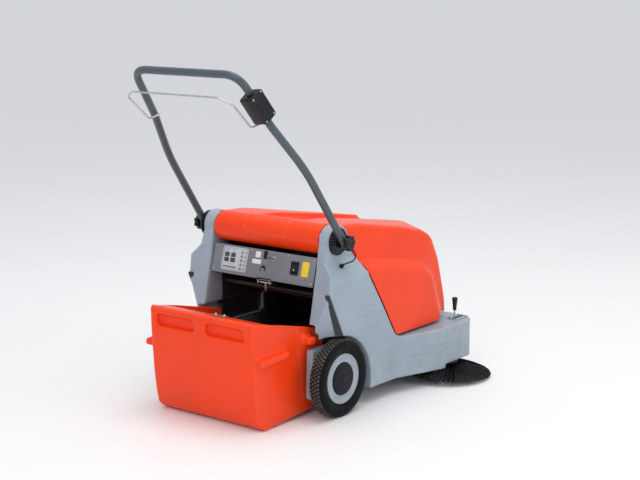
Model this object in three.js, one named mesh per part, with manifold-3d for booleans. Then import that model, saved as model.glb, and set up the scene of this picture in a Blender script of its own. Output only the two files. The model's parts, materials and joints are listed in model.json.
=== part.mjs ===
// Walk-behind battery sweeper with a pull-out debris hopper, a folding push handle and one side brush.
//
// Millimetres. +X is the machine's right as the operator stands behind it, +Y is the way it travels
// and +Z is up. Every dimension is measured from the middle plane (x = 0), the line of the rear
// wheels' axle (y = 0) and the floor (z = 0). The finished group is then moved so that its origin
// lies on the floor under the middle of the whole machine's footprint.

import * as THREE from 'three';
import Module from 'manifold-3d';
import { ConvexGeometry } from 'three/addons/geometries/ConvexGeometry.js';
import { mergeVertices } from 'three/addons/utils/BufferGeometryUtils.js';

const wasm = await Module();
wasm.setup();

// ---------------------------------------------------------------------------------------------
// Driving dimensions
// ---------------------------------------------------------------------------------------------

const FOOTPRINT_CENTRE = { x: 50, y: 170 };
const GAP = 0.35;
const BOTH_SIDES = [{ name: 'right', sign: 1 }, { name: 'left', sign: -1 }];

const wheel = {
  radius: 125, innerFace: 267, outerFace: 319, rimRadius: 81, capRadius: 52, axleRadius: 10,
};
const panel = {
  inner: 222, slabOuter: 250, neckOuter: 268, outer: 300, flareOuter: 360, wall: 5,
  ledgeHeight: 195, innerLedgeHeight: 200, bottom: 52, frontBottom: 66, bottomStep: 522,
};
const arch = { y: 2, z: 90, radius: 168 };
const hinge = { y: 36, z: 559, neckRadius: 50, rollRadius: 51, pinRadius: 7.6 };
const handlePivot = { y: 24, z: 560, boltRadius: 5 };
const handleTube = { radius: 12.3, wall: 2, x: 295 };
const hopperChannel = { bottom: 222, top: 300, front: 245 };
const hopper = { half: 218, wall: 5, travelAngle: THREE.MathUtils.degToRad(4.4) };
const hood = { half: 300, upperHalf: 261, wall: 6, bottom: 203 };
const mainBrush = { y: 410, z: 121, radius: 119, coreRadius: 55, left: -198, right: 176, shaftRadius: 9 };
const sideBrush = { x: 300, y: 605, z: 46, radius: 168, discRadius: 46, tilt: 4, motorRadius: 32 };
const caster = { y: 648, radius: 37.5, trail: 20, plateHeight: 100 };
const belt = { x0: -217, x1: -209, motorY: 286, motorZ: 442, motorRadius: 18, brushRadius: 40, thickness: 4 };
const liftLever = { x: 311, y: 648, pivotHeight: 125 };

const paint = {
  orange: { color: 0xee4b26, roughness: 0.42, metalness: 0 },
  grey: { color: 0x9dabb6, roughness: 0.5, metalness: 0 },
  console: { color: 0x83868a, roughness: 0.55, metalness: 0.1 },
  black: { color: 0x17181a, roughness: 0.55, metalness: 0 },
  rubber: { color: 0x202124, roughness: 0.85, metalness: 0 },
  slate: { color: 0x424c54, roughness: 0.45, metalness: 0.2 },
  steel: { color: 0xb9bcbe, roughness: 0.3, metalness: 0.9 },
  darkSteel: { color: 0x3b3e42, roughness: 0.5, metalness: 0.6 },
  rim: { color: 0xa7adb3, roughness: 0.45, metalness: 0 },
  cap: { color: 0x33373f, roughness: 0.5, metalness: 0 },
  decal: { color: 0xc3c8cb, roughness: 0.4, metalness: 0.1 },
  bristle: { color: 0x121214, roughness: 0.9, metalness: 0 },
  filter: { color: 0xd8d4c4, roughness: 0.9, metalness: 0 },
  battery: { color: 0x2a2c30, roughness: 0.6, metalness: 0 },
};

// ---------------------------------------------------------------------------------------------
// Solids
// ---------------------------------------------------------------------------------------------

function solidOf(geometry) {
  const bare = geometry.clone();
  bare.deleteAttribute('normal');
  bare.deleteAttribute('uv');
  const merged = mergeVertices(bare, 1e-4);
  const vertProperties = Float32Array.from(merged.attributes.position.array);
  const triVerts = Uint32Array.from(merged.index.array);
  return new wasm.Manifold(new wasm.Mesh({ numProp: 3, vertProperties, triVerts }));
}

function geometryOf(solid) {
  const mesh = solid.getMesh();
  const geometry = new THREE.BufferGeometry();
  geometry.setAttribute('position', new THREE.BufferAttribute(Float32Array.from(mesh.vertProperties), 3));
  geometry.setIndex(new THREE.BufferAttribute(Uint32Array.from(mesh.triVerts), 1));
  geometry.computeVertexNormals();
  return geometry;
}

function join(...solids) {
  return solids.reduce((whole, next) => whole.add(next));
}

function cut(solid, ...tools) {
  return tools.reduce((rest, tool) => rest.subtract(tool), solid);
}

function box([x0, x1], [y0, y1], [z0, z1]) {
  const geometry = new THREE.BoxGeometry(x1 - x0, y1 - y0, z1 - z0);
  geometry.translate((x0 + x1) / 2, (y0 + y1) / 2, (z0 + z1) / 2);
  return solidOf(geometry);
}

function shapeOf(points) {
  return new THREE.Shape(points.map(([u, v]) => new THREE.Vector2(u, v)));
}

function extrusion(points, length) {
  return new THREE.ExtrudeGeometry(shapeOf(points), { depth: length, bevelEnabled: false, steps: 1 });
}

// A prism whose outline is given in (y, z) and which runs along X.
function prismX(points, x0, x1) {
  const geometry = extrusion(points, x1 - x0);
  const turn = new THREE.Matrix4().set(0, 0, 1, x0, 1, 0, 0, 0, 0, 1, 0, 0, 0, 0, 0, 1);
  geometry.applyMatrix4(turn);
  return solidOf(geometry);
}

// A prism whose outline is given in (x, z) and which runs along Y.
function prismY(points, y0, y1) {
  const geometry = extrusion(points, y1 - y0);
  geometry.rotateX(Math.PI / 2);
  geometry.translate(0, y1, 0);
  return solidOf(geometry);
}

// A prism whose outline is given in (x, y) and which runs along Z.
function prismZ(points, z0, z1) {
  const geometry = extrusion(points, z1 - z0);
  geometry.translate(0, 0, z0);
  return solidOf(geometry);
}

function hull(points) {
  return solidOf(new ConvexGeometry(points.map(([x, y, z]) => new THREE.Vector3(x, y, z))));
}

function rodBetween(start, end, radius, sides = 16, endRadius = radius) {
  const a = new THREE.Vector3(...start);
  const b = new THREE.Vector3(...end);
  const length = a.distanceTo(b);
  const geometry = new THREE.CylinderGeometry(endRadius, radius, length, sides);
  const turn = new THREE.Quaternion().setFromUnitVectors(
    new THREE.Vector3(0, 1, 0), b.clone().sub(a).normalize());
  geometry.applyQuaternion(turn);
  geometry.translate((a.x + b.x) / 2, (a.y + b.y) / 2, (a.z + b.z) / 2);
  return solidOf(geometry);
}

function rodX(x0, x1, y, z, radius, sides = 20) {
  return rodBetween([x0, y, z], [x1, y, z], radius, sides);
}

// A turned solid: the profile lists (radius, height) from the foot up, and height runs along +Z.
function turned(profile, sides) {
  return solidOf(new THREE.LatheGeometry(
    profile.map(([radius, height]) => new THREE.Vector2(radius, height)), sides,
  ).rotateX(Math.PI / 2));
}

// The same, with height along +X and the axis through (y, z).
function turnedX(profile, sides, y, z) {
  return turned(profile, sides).rotate([0, 90, 0]).translate([0, y, z]);
}

function arcPoints(centreU, centreV, radius, startDegrees, endDegrees, count) {
  return Array.from({ length: count + 1 }, (_, i) => {
    const angle = THREE.MathUtils.degToRad(startDegrees + (endDegrees - startDegrees) * i / count);
    return [centreU + radius * Math.cos(angle), centreV + radius * Math.sin(angle)];
  });
}

function mirrored(solid, sign) {
  return sign > 0 ? solid : solid.mirror([1, 0, 0]);
}

function mirroredPoints(points) {
  return [...points, ...points.map(([x, y, z]) => [-x, y, z])];
}

function span(sign, x0, x1) {
  return sign > 0 ? [x0, x1] : [-x1, -x0];
}

// A sheet of even thickness bent along a line in (y, z): the outline of its edge.
function bentSheet(line, thickness) {
  const offset = line.map(([y, z], i) => {
    const before = line[Math.max(i - 1, 0)];
    const after = line[Math.min(i + 1, line.length - 1)];
    const into = new THREE.Vector2(y - before[0], z - before[1]).normalize();
    const out = new THREE.Vector2(after[0] - y, after[1] - z).normalize();
    const along = into.clone().add(out).normalize();
    const normal = new THREE.Vector2(-along.y, along.x);
    const atEnd = i === 0 || i === line.length - 1;
    const cosine = normal.dot(new THREE.Vector2(-into.y, into.x));
    const reach = atEnd ? thickness : thickness / Math.max(cosine, 0.3);
    return [y + normal.x * reach, z + normal.y * reach];
  });
  return [...line, ...offset.reverse()];
}

// A path through given stations, for tubes and wires. A tube gets one ring at each station.
class StationCurve extends THREE.Curve {
  constructor(stations) {
    super();
    this.stations = stations;
  }

  getPoint(t, target = new THREE.Vector3()) {
    const place = t * (this.stations.length - 1);
    const i = Math.min(Math.floor(place), this.stations.length - 2);
    return target.lerpVectors(this.stations[i], this.stations[i + 1], place - i);
  }

  getPointAt(u, target) {
    return this.getPoint(u, target);
  }

  getTangentAt(u, target = new THREE.Vector3()) {
    const last = this.stations.length - 1;
    const i = Math.round(u * last);
    const before = this.stations[Math.max(i - 1, 0)];
    const after = this.stations[Math.min(i + 1, last)];
    return target.copy(after).sub(before).normalize();
  }
}

// Stations along straight runs with rounded corners, `turns` stations to a corner.
function roundedRoute(corners, reaches, turns = 5) {
  const points = corners.map((corner) => new THREE.Vector3(...corner));
  const stations = [points[0]];
  for (let i = 1; i < points.length - 1; i += 1) {
    const back = points[i - 1].clone().sub(points[i]);
    const ahead = points[i + 1].clone().sub(points[i]);
    const reach = reaches[i - 1];
    const start = points[i].clone().addScaledVector(back.normalize(), reach);
    const end = points[i].clone().addScaledVector(ahead.normalize(), reach);
    const corner = new THREE.QuadraticBezierCurve3(start, points[i], end);
    stations.push(...corner.getPoints(turns - 1));
  }
  stations.push(points[points.length - 1]);
  return stations;
}

function tube(stations, radius, sides) {
  const section = new THREE.Shape();
  section.absarc(0, 0, radius, 0, Math.PI * 2, false);
  return solidOf(new THREE.ExtrudeGeometry(section, {
    steps: stations.length - 1,
    curveSegments: sides / 2,
    bevelEnabled: false,
    extrudePath: new StationCurve(stations),
  }));
}

const sweeper = new THREE.Group();

function addPiece(name, solid, finish, parent = sweeper) {
  const mesh = new THREE.Mesh(geometryOf(solid), new THREE.MeshStandardMaterial(finish));
  mesh.name = name;
  parent.add(mesh);
  return mesh;
}

// ---------------------------------------------------------------------------------------------
// Side mouldings: hollow, open below, with the wheel arch, the hopper's channel and the ledge
// ---------------------------------------------------------------------------------------------

const seamLine = [
  [322, 200], [308, 206], [296, 224], [225, 336], [150, 446], [134, 478], [121, 495], [103, 521],
];
const neckArc = arcPoints(hinge.y, hinge.z, hinge.neckRadius, -20, 180, 14);
const rearEdge = [[-16, 518], [-39, 413], [-56, 330], [-65, 298], [-76, 226], [-81, 82]];

function frontPlan(inset) {
  return [
    [300 - inset, 305 + inset], [360 - inset, 500 + inset * 0.3], [360 - inset, 668 - inset * 0.4],
    [352 - inset * 0.8, 688 - inset * 0.7], [330 - inset * 0.5, 706 - inset],
    [300 - inset * 0.2, 716 - inset],
  ];
}

function sidePanel() {
  const frontEnd = 722;
  const slab = prismX([
    ...seamLine, ...neckArc, ...rearEdge, ...arcPoints(-56, 77, 25, 180, 270, 4),
    [panel.bottomStep, panel.bottom], [frontEnd, panel.bottom], [frontEnd, panel.ledgeHeight],
    [640, panel.ledgeHeight], [630, panel.innerLedgeHeight],
  ], panel.inner, panel.slabOuter);
  const neckRings = [[panel.inner, 0], [panel.neckOuter - 4, 0], [panel.neckOuter, 4]];
  const neckRound = hull(neckRings.flatMap(([x, less]) => (
    arcPoints(hinge.y, hinge.z, hinge.neckRadius - less, -60, 240, 18).map(([y, z]) => [x, y, z]))));
  const neckFoot = hull([
    [panel.inner, -16, 542], [panel.inner, -25, 480], [panel.inner, 83, 546], [panel.inner, 128, 486],
    [panel.neckOuter - 4, -15, 542], [panel.neckOuter - 4, -34, 486], [panel.neckOuter - 4, 83, 546],
    [panel.neckOuter - 4, 128, 486], [panel.neckOuter, -12, 538], [panel.neckOuter, -30, 490],
    [panel.neckOuter, 80, 543], [panel.neckOuter, 122, 490],
  ]);
  const shoulder = hull([
    [panel.inner, -19, 503], [panel.inner, 118, 501], [262, -33, 500], [269, 121, 497],
    [panel.inner, -28, 461], [299, -47, 461], [300, 150, 446], [panel.inner, 150, 446],
    [panel.inner, -42, 396], [panel.outer, -53, 396], [panel.outer, 183, 396], [panel.inner, 183, 396],
  ]);
  const rearCorner = hull([
    [panel.inner, -42, 397], [panel.outer, -53, 397], [panel.inner, 150, 397], [panel.outer, 150, 397],
    [panel.inner, -71, 250], [238, -68, 250], [panel.outer, 25, 250], [panel.inner, 150, 250],
    [panel.outer, 150, 250],
  ]);
  const flank = prismX([
    [-40, 440], [-44, 396], [26, 250], [26, 60], [100, panel.bottom], [panel.bottomStep, panel.bottom],
    [640, panel.bottom], [640, panel.ledgeHeight], [330, panel.ledgeHeight], [322, 200],
    [308, 206], [296, 224], [225, 336], [154, 440],
  ], panel.slabOuter - 1, panel.outer);
  const flare = prismZ([
    [249, 300], ...frontPlan(0), [panel.inner, frontEnd], [panel.inner, 600],
  ], panel.bottom, panel.ledgeHeight);
  const archCut = rodX(panel.slabOuter, panel.outer + 20, arch.y, arch.z, arch.radius, 36);
  const frontUndercut = box([200, 400], [panel.bottomStep, 800], [0, panel.frontBottom]);
  const filled = join(slab, neckRound, neckFoot, shoulder, rearCorner, flank, flare);
  const body = cut(filled, archCut, frontUndercut);

  const wall = panel.wall;
  const slabHollow = prismX([
    [-40, 30], [-60, 90], [-60, 226], [-48, 300], [-38, 340], [-18, 436], [-6, 490], [96, 500], [128, 470],
    [144, 442], [219, 333], [290, 221], [306, 200], [320, 190], [640, 190], [640, 30],
  ], panel.inner + wall, panel.slabOuter - wall);
  const flankHollow = prismX([
    [-34, 436], [-38, 400], [33, 250], [33, 0], [640, 0], [640, 190], [330, 190], [306, 200], [290, 221],
    [219, 333], [144, 440],
  ], panel.slabOuter - wall - 1, panel.outer - wall);
  const flareHollow = prismZ([
    [240, 330], ...frontPlan(wall), [panel.inner + wall, frontEnd - wall], [panel.inner + wall, 590],
  ], 0, 190);
  const archWall = rodX(panel.slabOuter - wall, panel.outer + 20, arch.y, arch.z, arch.radius + wall, 36);
  const channelWall = box([200, panel.slabOuter + wall],
    [-120, hopperChannel.front + wall], [hopperChannel.bottom - wall, hopperChannel.top + wall]);
  const axleBoss = rodX(200, panel.slabOuter, 0, wheel.radius, 30);
  const hollow = cut(join(slabHollow, cut(flankHollow, archWall), flareHollow), channelWall, axleBoss);

  const channel = box([200, panel.slabOuter - 0.5], [-120, hopperChannel.front],
    [hopperChannel.bottom, hopperChannel.top]);
  const axleHole = rodX(200, 300, 0, wheel.radius, wheel.axleRadius + GAP);
  const pinHole = rodX(200, 238, hinge.y, hinge.z, hinge.pinRadius + GAP);
  const boltHole = rodX(241, 300, handlePivot.y, handlePivot.z, handlePivot.boltRadius + GAP);
  const shaftHole = rodX(200, 240, mainBrush.y, mainBrush.z, mainBrush.shaftRadius + 6);
  return cut(body, hollow, channel, axleHole, pinHole, boltHole, shaftHole);
}

// The ribbed strip guards the moulding's rear corner from the shoulder down to the wheel arch.
function guardStrip(grow) {
  const inward = 2 + grow;
  const outward = 3.5 + grow;
  return hull([
    [282, -53.5, 400, 0.2, -0.98], [300 + grow, -54.5, 400, 0.2, -0.98],
    [288, -4, 256, 0.74, -0.67], [302 + grow, 21, 250, 0.74, -0.67],
  ].flatMap(([x, y, z, nx, ny]) => [
    [x - nx * inward, y - ny * inward, z], [x + nx * outward, y + ny * outward, z],
  ]));
}

const stripSolid = guardStrip(0);
const leverOpening = box([295, 327], [634, 702], [panel.ledgeHeight - 20, panel.ledgeHeight + 20]);
const rightPanel = cut(sidePanel(), guardStrip(GAP));
const leftPanel = rightPanel.mirror([1, 0, 0]);
addPiece('side_panel_right', cut(rightPanel, leverOpening), paint.grey);
addPiece('side_panel_left', leftPanel, paint.grey);
const stripInFront = cut(stripSolid, rodX(240, 330, arch.y, arch.z, arch.radius + 1, 36));
for (const { name, sign } of BOTH_SIDES) {
  addPiece(`guard_strip_${name}`, mirrored(stripInFront, sign), paint.darkSteel);
}

// ---------------------------------------------------------------------------------------------
// Sheet-steel pan between the mouldings, front bumper and brush tunnel
// ---------------------------------------------------------------------------------------------

const panLine = [[24, 396], [322, 396], [322, 266], [576, 266], [576, 106], [704, 106], [704, 186]];
const pan = prismX(bentSheet(panLine, 3), -panel.inner + 0.5, panel.inner - 0.5);
const beltRoom = box([-218.5, -203], [255, 480], [200, 420]);
const sideWeb = [
  [26, 399], [325, 399], [325, 269], [579, 269], [579, 190], [316, 190], [250, 304], [26, 304],
];
const webs = BOTH_SIDES.map(({ sign }) => (
  prismX(sideWeb, ...span(sign, panel.inner - 2.3, panel.inner - 0.5))));
addPiece('chassis_pan', join(cut(pan, beltRoom), ...webs), paint.darkSteel);
addPiece('belt_cover', cut(
  prismX([
    [290, 392], [318, 392], [318, 262], [520, 262], [520, 100], [330, 100], [300, 220],
  ], -202.5, -200.5),
  rodX(-210, -190, mainBrush.y, mainBrush.z, mainBrush.shaftRadius + 2),
), paint.black);

const bumperHalf = panel.inner - GAP;
const bumperOuter = [
  [-bumperHalf, 722], [-120, 727], [0, 729], [120, 727], [bumperHalf, 722],
  [bumperHalf, 640], [-bumperHalf, 640],
];
const bumperInner = [[-230, 715], [-120, 720], [0, 722], [120, 720], [230, 715], [230, 600], [-230, 600]];
addPiece('front_bumper', cut(
  prismZ(bumperOuter, panel.frontBottom, panel.ledgeHeight),
  prismZ(bumperInner, panel.frontBottom - 10, panel.ledgeHeight - 6),
), paint.grey);

const tunnelRadius = mainBrush.radius + 8;
addPiece('brush_tunnel', prismX([
  ...arcPoints(mainBrush.y, mainBrush.z, tunnelRadius, -28, 128, 20),
  ...arcPoints(mainBrush.y, mainBrush.z, tunnelRadius + 3, 128, -28, 20),
], -200, 196), paint.darkSteel);

addPiece('front_skirt', box([-200, 132], [568, 572], [8, 98]), paint.rubber);

// ---------------------------------------------------------------------------------------------
// Rear wheels on stub axles
// ---------------------------------------------------------------------------------------------

function wheelPieces() {
  const mid = (wheel.innerFace + wheel.outerFace) / 2;
  const half = (wheel.outerFace - wheel.innerFace) / 2;
  const bead = wheel.rimRadius + 0.4;
  const tyre = turnedX([
    [bead, mid - half + 6], [104, mid - half], [117, mid - half + 3], [123.5, mid - half + 9],
    [wheel.radius, mid - half + 18], [wheel.radius, mid + half - 18], [123.5, mid + half - 9],
    [117, mid + half - 3], [104, mid + half], [bead, mid + half - 6], [bead, mid - half + 6],
  ], 36, 0, wheel.radius);
  const rim = turnedX([
    [wheel.axleRadius + GAP, mid - 20], [34, mid - 20], [34, mid - 6], [66, mid - 6], [70, mid - 19],
    [wheel.rimRadius, mid - 19], [wheel.rimRadius, mid + 21], [76, mid + 23], [wheel.capRadius + 1, mid + 19],
    [wheel.capRadius + 0.5, mid + 12], [wheel.axleRadius + GAP, mid + 12], [wheel.axleRadius + GAP, mid - 20],
  ], 26, 0, wheel.radius);
  const cap = turnedX([
    [0, mid + 16.5], [wheel.capRadius - 5, mid + 16.5], [wheel.capRadius - 5, mid + 12.5],
    [wheel.capRadius, mid + 12.5], [wheel.capRadius, mid + 22], [wheel.capRadius - 6, mid + 25],
    [0, mid + 27],
  ], 26, 0, wheel.radius);
  return { tyre, rim, cap };
}

const { tyre, rim, cap } = wheelPieces();
const stubAxle = join(
  rodX(229, 307, 0, wheel.radius, wheel.axleRadius),
  rodX(panel.slabOuter + GAP, panel.slabOuter + 6, 0, wheel.radius, 22),
);
for (const { name, sign } of BOTH_SIDES) {
  addPiece(`stub_axle_${name}`, mirrored(stubAxle, sign), paint.steel);
  addPiece(`tyre_${name}`, mirrored(tyre, sign), paint.rubber);
  addPiece(`wheel_rim_${name}`, mirrored(rim, sign), paint.rim);
  addPiece(`hub_cap_${name}`, mirrored(cap, sign), paint.cap);
}

// ---------------------------------------------------------------------------------------------
// Front caster
// ---------------------------------------------------------------------------------------------

const casterAxle = { y: caster.y - caster.trail, z: caster.radius };
const forkHalf = 17;
const forkTop = caster.plateHeight - 6;
addPiece('caster_plate', join(
  box([-36, 36], [caster.y - 32, caster.y + 32], [caster.plateHeight, 105.6]),
  rodBetween([0, caster.y, caster.plateHeight - 4], [0, caster.y, caster.plateHeight + 1], 20),
), paint.steel);
const forkCheek = [
  [caster.y - 22, forkTop], [caster.y + 22, forkTop], [caster.y + 16, forkTop - 16],
  [casterAxle.y + 11, casterAxle.z - 8], [casterAxle.y - 11, casterAxle.z - 8],
  [casterAxle.y - 12, casterAxle.z + 12],
];
addPiece('caster_fork', join(
  prismX(forkCheek, forkHalf - 3, forkHalf),
  prismX(forkCheek, -forkHalf, -forkHalf + 3),
  box([-forkHalf, forkHalf], [caster.y - 22, caster.y + 22], [forkTop - 4, forkTop]),
  rodX(-forkHalf - 4, forkHalf + 4, casterAxle.y, casterAxle.z, 5, 12),
), paint.steel);
addPiece('caster_wheel', turnedX([
  [5.4, -13], [24, -13], [24, -10], [34, -12], [caster.radius, -8], [caster.radius, 8], [34, 12], [24, 10],
  [24, 13], [5.4, 13], [5.4, -13],
], 24, casterAxle.y, casterAxle.z), paint.rubber);

// ---------------------------------------------------------------------------------------------
// Main roller brush, its motor and belt
// ---------------------------------------------------------------------------------------------

addPiece('main_brush_core', join(
  rodX(mainBrush.left, mainBrush.right, mainBrush.y, mainBrush.z, mainBrush.coreRadius - GAP, 24),
  rodX(-panel.inner + 1, panel.inner - 1, mainBrush.y, mainBrush.z, mainBrush.shaftRadius, 16),
  rodX(belt.x0 - 1, belt.x1 + 1, mainBrush.y, mainBrush.z, belt.brushRadius, 28),
), paint.darkSteel);

// The bristle rows wind once along the roller, so the sleeve is a lobed section with a twist.
function bristleSleeve() {
  const lobes = 6;
  const outline = new THREE.Shape(Array.from({ length: lobes * 4 }, (_, i) => {
    const angle = i / (lobes * 4) * Math.PI * 2;
    const reach = [mainBrush.radius, mainBrush.radius - 2, 82, mainBrush.radius - 4][i % 4];
    return new THREE.Vector2(reach * Math.cos(angle), reach * Math.sin(angle));
  }));
  const length = mainBrush.right - mainBrush.left;
  const steps = 8;
  const geometry = new THREE.ExtrudeGeometry(outline, { depth: length, bevelEnabled: false, steps });
  const position = geometry.attributes.position;
  const point = new THREE.Vector3();
  for (let i = 0; i < position.count; i += 1) {
    point.fromBufferAttribute(position, i);
    const twist = THREE.MathUtils.degToRad(80) * Math.abs(2 * point.z / length - 1);
    point.applyAxisAngle(new THREE.Vector3(0, 0, 1), twist);
    position.setXYZ(i, point.z + mainBrush.left, point.x + mainBrush.y, point.y + mainBrush.z);
  }
  const bore = rodX(
    mainBrush.left - 1, mainBrush.right + 1, mainBrush.y, mainBrush.z, mainBrush.coreRadius, 24);
  return cut(solidOf(geometry), bore);
}
addPiece('main_brush_bristles', bristleSleeve(), paint.bristle);

const motorEnd = { shaftStart: belt.x0 - 1, bodyStart: -190, bodyEnd: -40 };
addPiece('brush_motor', cut(join(
  rodX(motorEnd.bodyStart, motorEnd.bodyEnd, belt.motorY, belt.motorZ, 40, 24),
  box([motorEnd.bodyStart + 20, motorEnd.bodyEnd - 20], [belt.motorY - 30, belt.motorY + 30],
    [400, belt.motorZ]),
), rodX(-240, motorEnd.bodyStart + 12, belt.motorY, belt.motorZ, 7)), paint.darkSteel);
addPiece('motor_pulley', join(
  rodX(motorEnd.shaftStart, belt.x1 + 1, belt.motorY, belt.motorZ, belt.motorRadius, 20),
  rodX(belt.x1, motorEnd.bodyStart + 11, belt.motorY, belt.motorZ, 6, 14),
), paint.steel);

// The belt's outline is the taut line around both pulleys.
function beltLoop(reach, grow) {
  const across = [mainBrush.y - belt.motorY, mainBrush.z - belt.motorZ];
  const distance = Math.hypot(...across);
  const heading = THREE.MathUtils.radToDeg(Math.atan2(across[1], across[0]));
  const lean = THREE.MathUtils.radToDeg(Math.acos((belt.motorRadius - belt.brushRadius) / distance));
  return prismX([
    ...arcPoints(belt.motorY, belt.motorZ, belt.motorRadius + grow, heading + lean, heading + 360 - lean, 14),
    ...arcPoints(mainBrush.y, mainBrush.z, belt.brushRadius + grow, heading - lean, heading + lean, 18),
  ], belt.x0 + 1 - reach, belt.x1 - 1 + reach);
}
addPiece('brush_belt', cut(beltLoop(1, belt.thickness), beltLoop(4, 1.2)), paint.rubber);

// ---------------------------------------------------------------------------------------------
// Batteries, suction fan and filter
// ---------------------------------------------------------------------------------------------

const batteryBase = 271.5;
for (const { name, sign } of BOTH_SIDES) {
  const [x0, x1] = span(sign, 6, 196);
  addPiece(`battery_${name}`, join(
    box([x0, x1], [346, 510], [batteryBase, batteryBase + 158]),
    box([x0 + 6, x1 - 6], [352, 504], [batteryBase + 157, batteryBase + 166]),
    rodBetween([x0 + 26, 366, batteryBase + 165], [x0 + 26, 366, batteryBase + 178], 8, 12),
    rodBetween([x1 - 26, 366, batteryBase + 165], [x1 - 26, 366, batteryBase + 178], 8, 12),
  ), paint.battery);
}

const fan = { x: 90, y: 140, base: 444, radius: 72, height: 62 };
addPiece('fan_housing', turned([
  [26, 0], [fan.radius, 0], [fan.radius, fan.height], [30, fan.height],
  [30, fan.height + 34], [0, fan.height + 34], [0, fan.height - 4],
  [fan.radius - 4, fan.height - 4], [fan.radius - 4, 4], [26, 4], [26, 0],
], 22).translate([fan.x, fan.y, fan.base]), paint.black);

function impeller() {
  const hub = turned([[0, 8], [62, 8], [62, 11], [14, 12], [14, 46], [0, 46]], 18);
  const blade = box([12, 60], [-1.5, 1.5], [9, 38]);
  const blades = Array.from({ length: 8 }, (_, i) => blade.rotate([0, 0, i * 45]));
  return join(hub, ...blades).translate([fan.x, fan.y, fan.base]);
}
addPiece('fan_impeller', impeller(), paint.steel);

function filterCassette() {
  const pleats = [];
  const pitch = 20;
  for (let y = 64; y < 224; y += pitch) {
    pleats.push(prismX([
      [y, 408], [y + pitch / 2, 436], [y + pitch, 408], [y + pitch, 404], [y, 404],
    ], -60, 196));
  }
  const frame = cut(box([-70, 206], [54, 234], [400, 440]), box([-60, 196], [64, 224], [390, 450]));
  return join(frame, ...pleats);
}
addPiece('filter_cassette', filterCassette(), paint.filter);

addPiece('filter_shaker_bar', join(
  rodX(-182, 196, 14, 378, 11, 20),
  rodX(-196, -181, 14, 378, 6, 12),
  rodX(195, 210, 14, 378, 6, 12),
), paint.black);

// ---------------------------------------------------------------------------------------------
// Console: a tilted plate with its display, switches and hopper latch
// ---------------------------------------------------------------------------------------------

const consoleGroup = new THREE.Group();
consoleGroup.position.set(0, -22, 459);
consoleGroup.rotation.x = THREE.MathUtils.degToRad(-15.8);
sweeper.add(consoleGroup);

const plateHalf = { x: 216, z: 47.5 };
const rocker = { x: 133.5, z: 4, halfX: 15.5, halfZ: 21.5 };
const pullPlace = { x: 43, z: 23, gripOut: 46 };
const latch = { x0: -12, x1: 42, barX: 20, pivotY: -30, pivotZ: 402 };
const slotPlace = { x: 8, z: -12, radius: 16 };
const slotOutline = [
  ...arcPoints(slotPlace.x - 12, slotPlace.z - 6, slotPlace.radius + 3, -10, 62, 6),
  ...arcPoints(slotPlace.x - 12, slotPlace.z - 6, slotPlace.radius - 3, 62, -10, 6),
];
addPiece('console_plate', cut(join(
  box([-plateHalf.x, plateHalf.x], [0, 2.5], [-plateHalf.z, plateHalf.z]),
  box([-plateHalf.x, plateHalf.x], [0, 26], [-plateHalf.z, -plateHalf.z + 2.5]),
  box([-plateHalf.x, plateHalf.x], [0, 14], [plateHalf.z - 2.5, plateHalf.z]),
),
box([rocker.x - 13, rocker.x + 13], [-5, 10], [rocker.z - 19, rocker.z + 19]),
rodBetween([pullPlace.x, -5, pullPlace.z], [pullPlace.x, 8, pullPlace.z], 6, 16),
prismY(slotOutline, -5, 8),
rodBetween([slotPlace.x - 12, -5, slotPlace.z - 6], [slotPlace.x - 12, 8, slotPlace.z - 6], 3.4, 12),
box([latch.x0 - 4, latch.x1 + 4], [-5, 30], [-60, 4 - plateHalf.z]),
), paint.console, consoleGroup);

addPiece('display_panel', box([-176, -67], [-1.9, -0.3], [-37, 42]), paint.decal, consoleGroup);
addPiece('rocker_frame', cut(
  join(
    box([rocker.x - rocker.halfX, rocker.x + rocker.halfX], [-3.5, -0.3],
      [rocker.z - rocker.halfZ, rocker.z + rocker.halfZ]),
    box([rocker.x - 12.6, rocker.x + 12.6], [-1, 16], [rocker.z - 18.6, rocker.z + 18.6]),
  ),
  box([rocker.x - 9, rocker.x + 9], [-10, 14], [rocker.z - 15.2, rocker.z + 15.2]),
), paint.black, consoleGroup);
addPiece('rocker_switch', prismX([
  [-3, rocker.z - 13], [-6.3, rocker.z - 13.1], [-4.2, rocker.z], [-2.6, rocker.z + 13.2], [5, rocker.z + 9],
  [8, rocker.z], [5, rocker.z - 9],
], rocker.x - 8.5, rocker.x + 8.5), paint.black, consoleGroup);
addPiece('shaker_pull', join(
  rodBetween([pullPlace.x, 40, pullPlace.z], [pullPlace.x, -pullPlace.gripOut, pullPlace.z], 3.2, 12),
  rodBetween([pullPlace.x, -34, pullPlace.z], [pullPlace.x, -41, pullPlace.z], 5.5, 12),
  rodBetween([pullPlace.x, -pullPlace.gripOut, pullPlace.z - 6],
    [pullPlace.x, -pullPlace.gripOut, pullPlace.z + 21], 5.5, 12, 7),
), paint.black, consoleGroup);
addPiece('damper_lever', join(
  rodBetween([slotPlace.x - 12, -3, slotPlace.z - 6], [slotPlace.x - 12, 14, slotPlace.z - 6], 3, 12),
  rodBetween([slotPlace.x - 12, 8, slotPlace.z - 6], [slotPlace.x + 1, 8, slotPlace.z + 3.5], 2.2, 8),
  rodBetween([slotPlace.x + 1, 9, slotPlace.z + 3.5], [slotPlace.x + 1, -9, slotPlace.z + 3.5], 2.4, 8),
), paint.black, consoleGroup);

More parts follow.
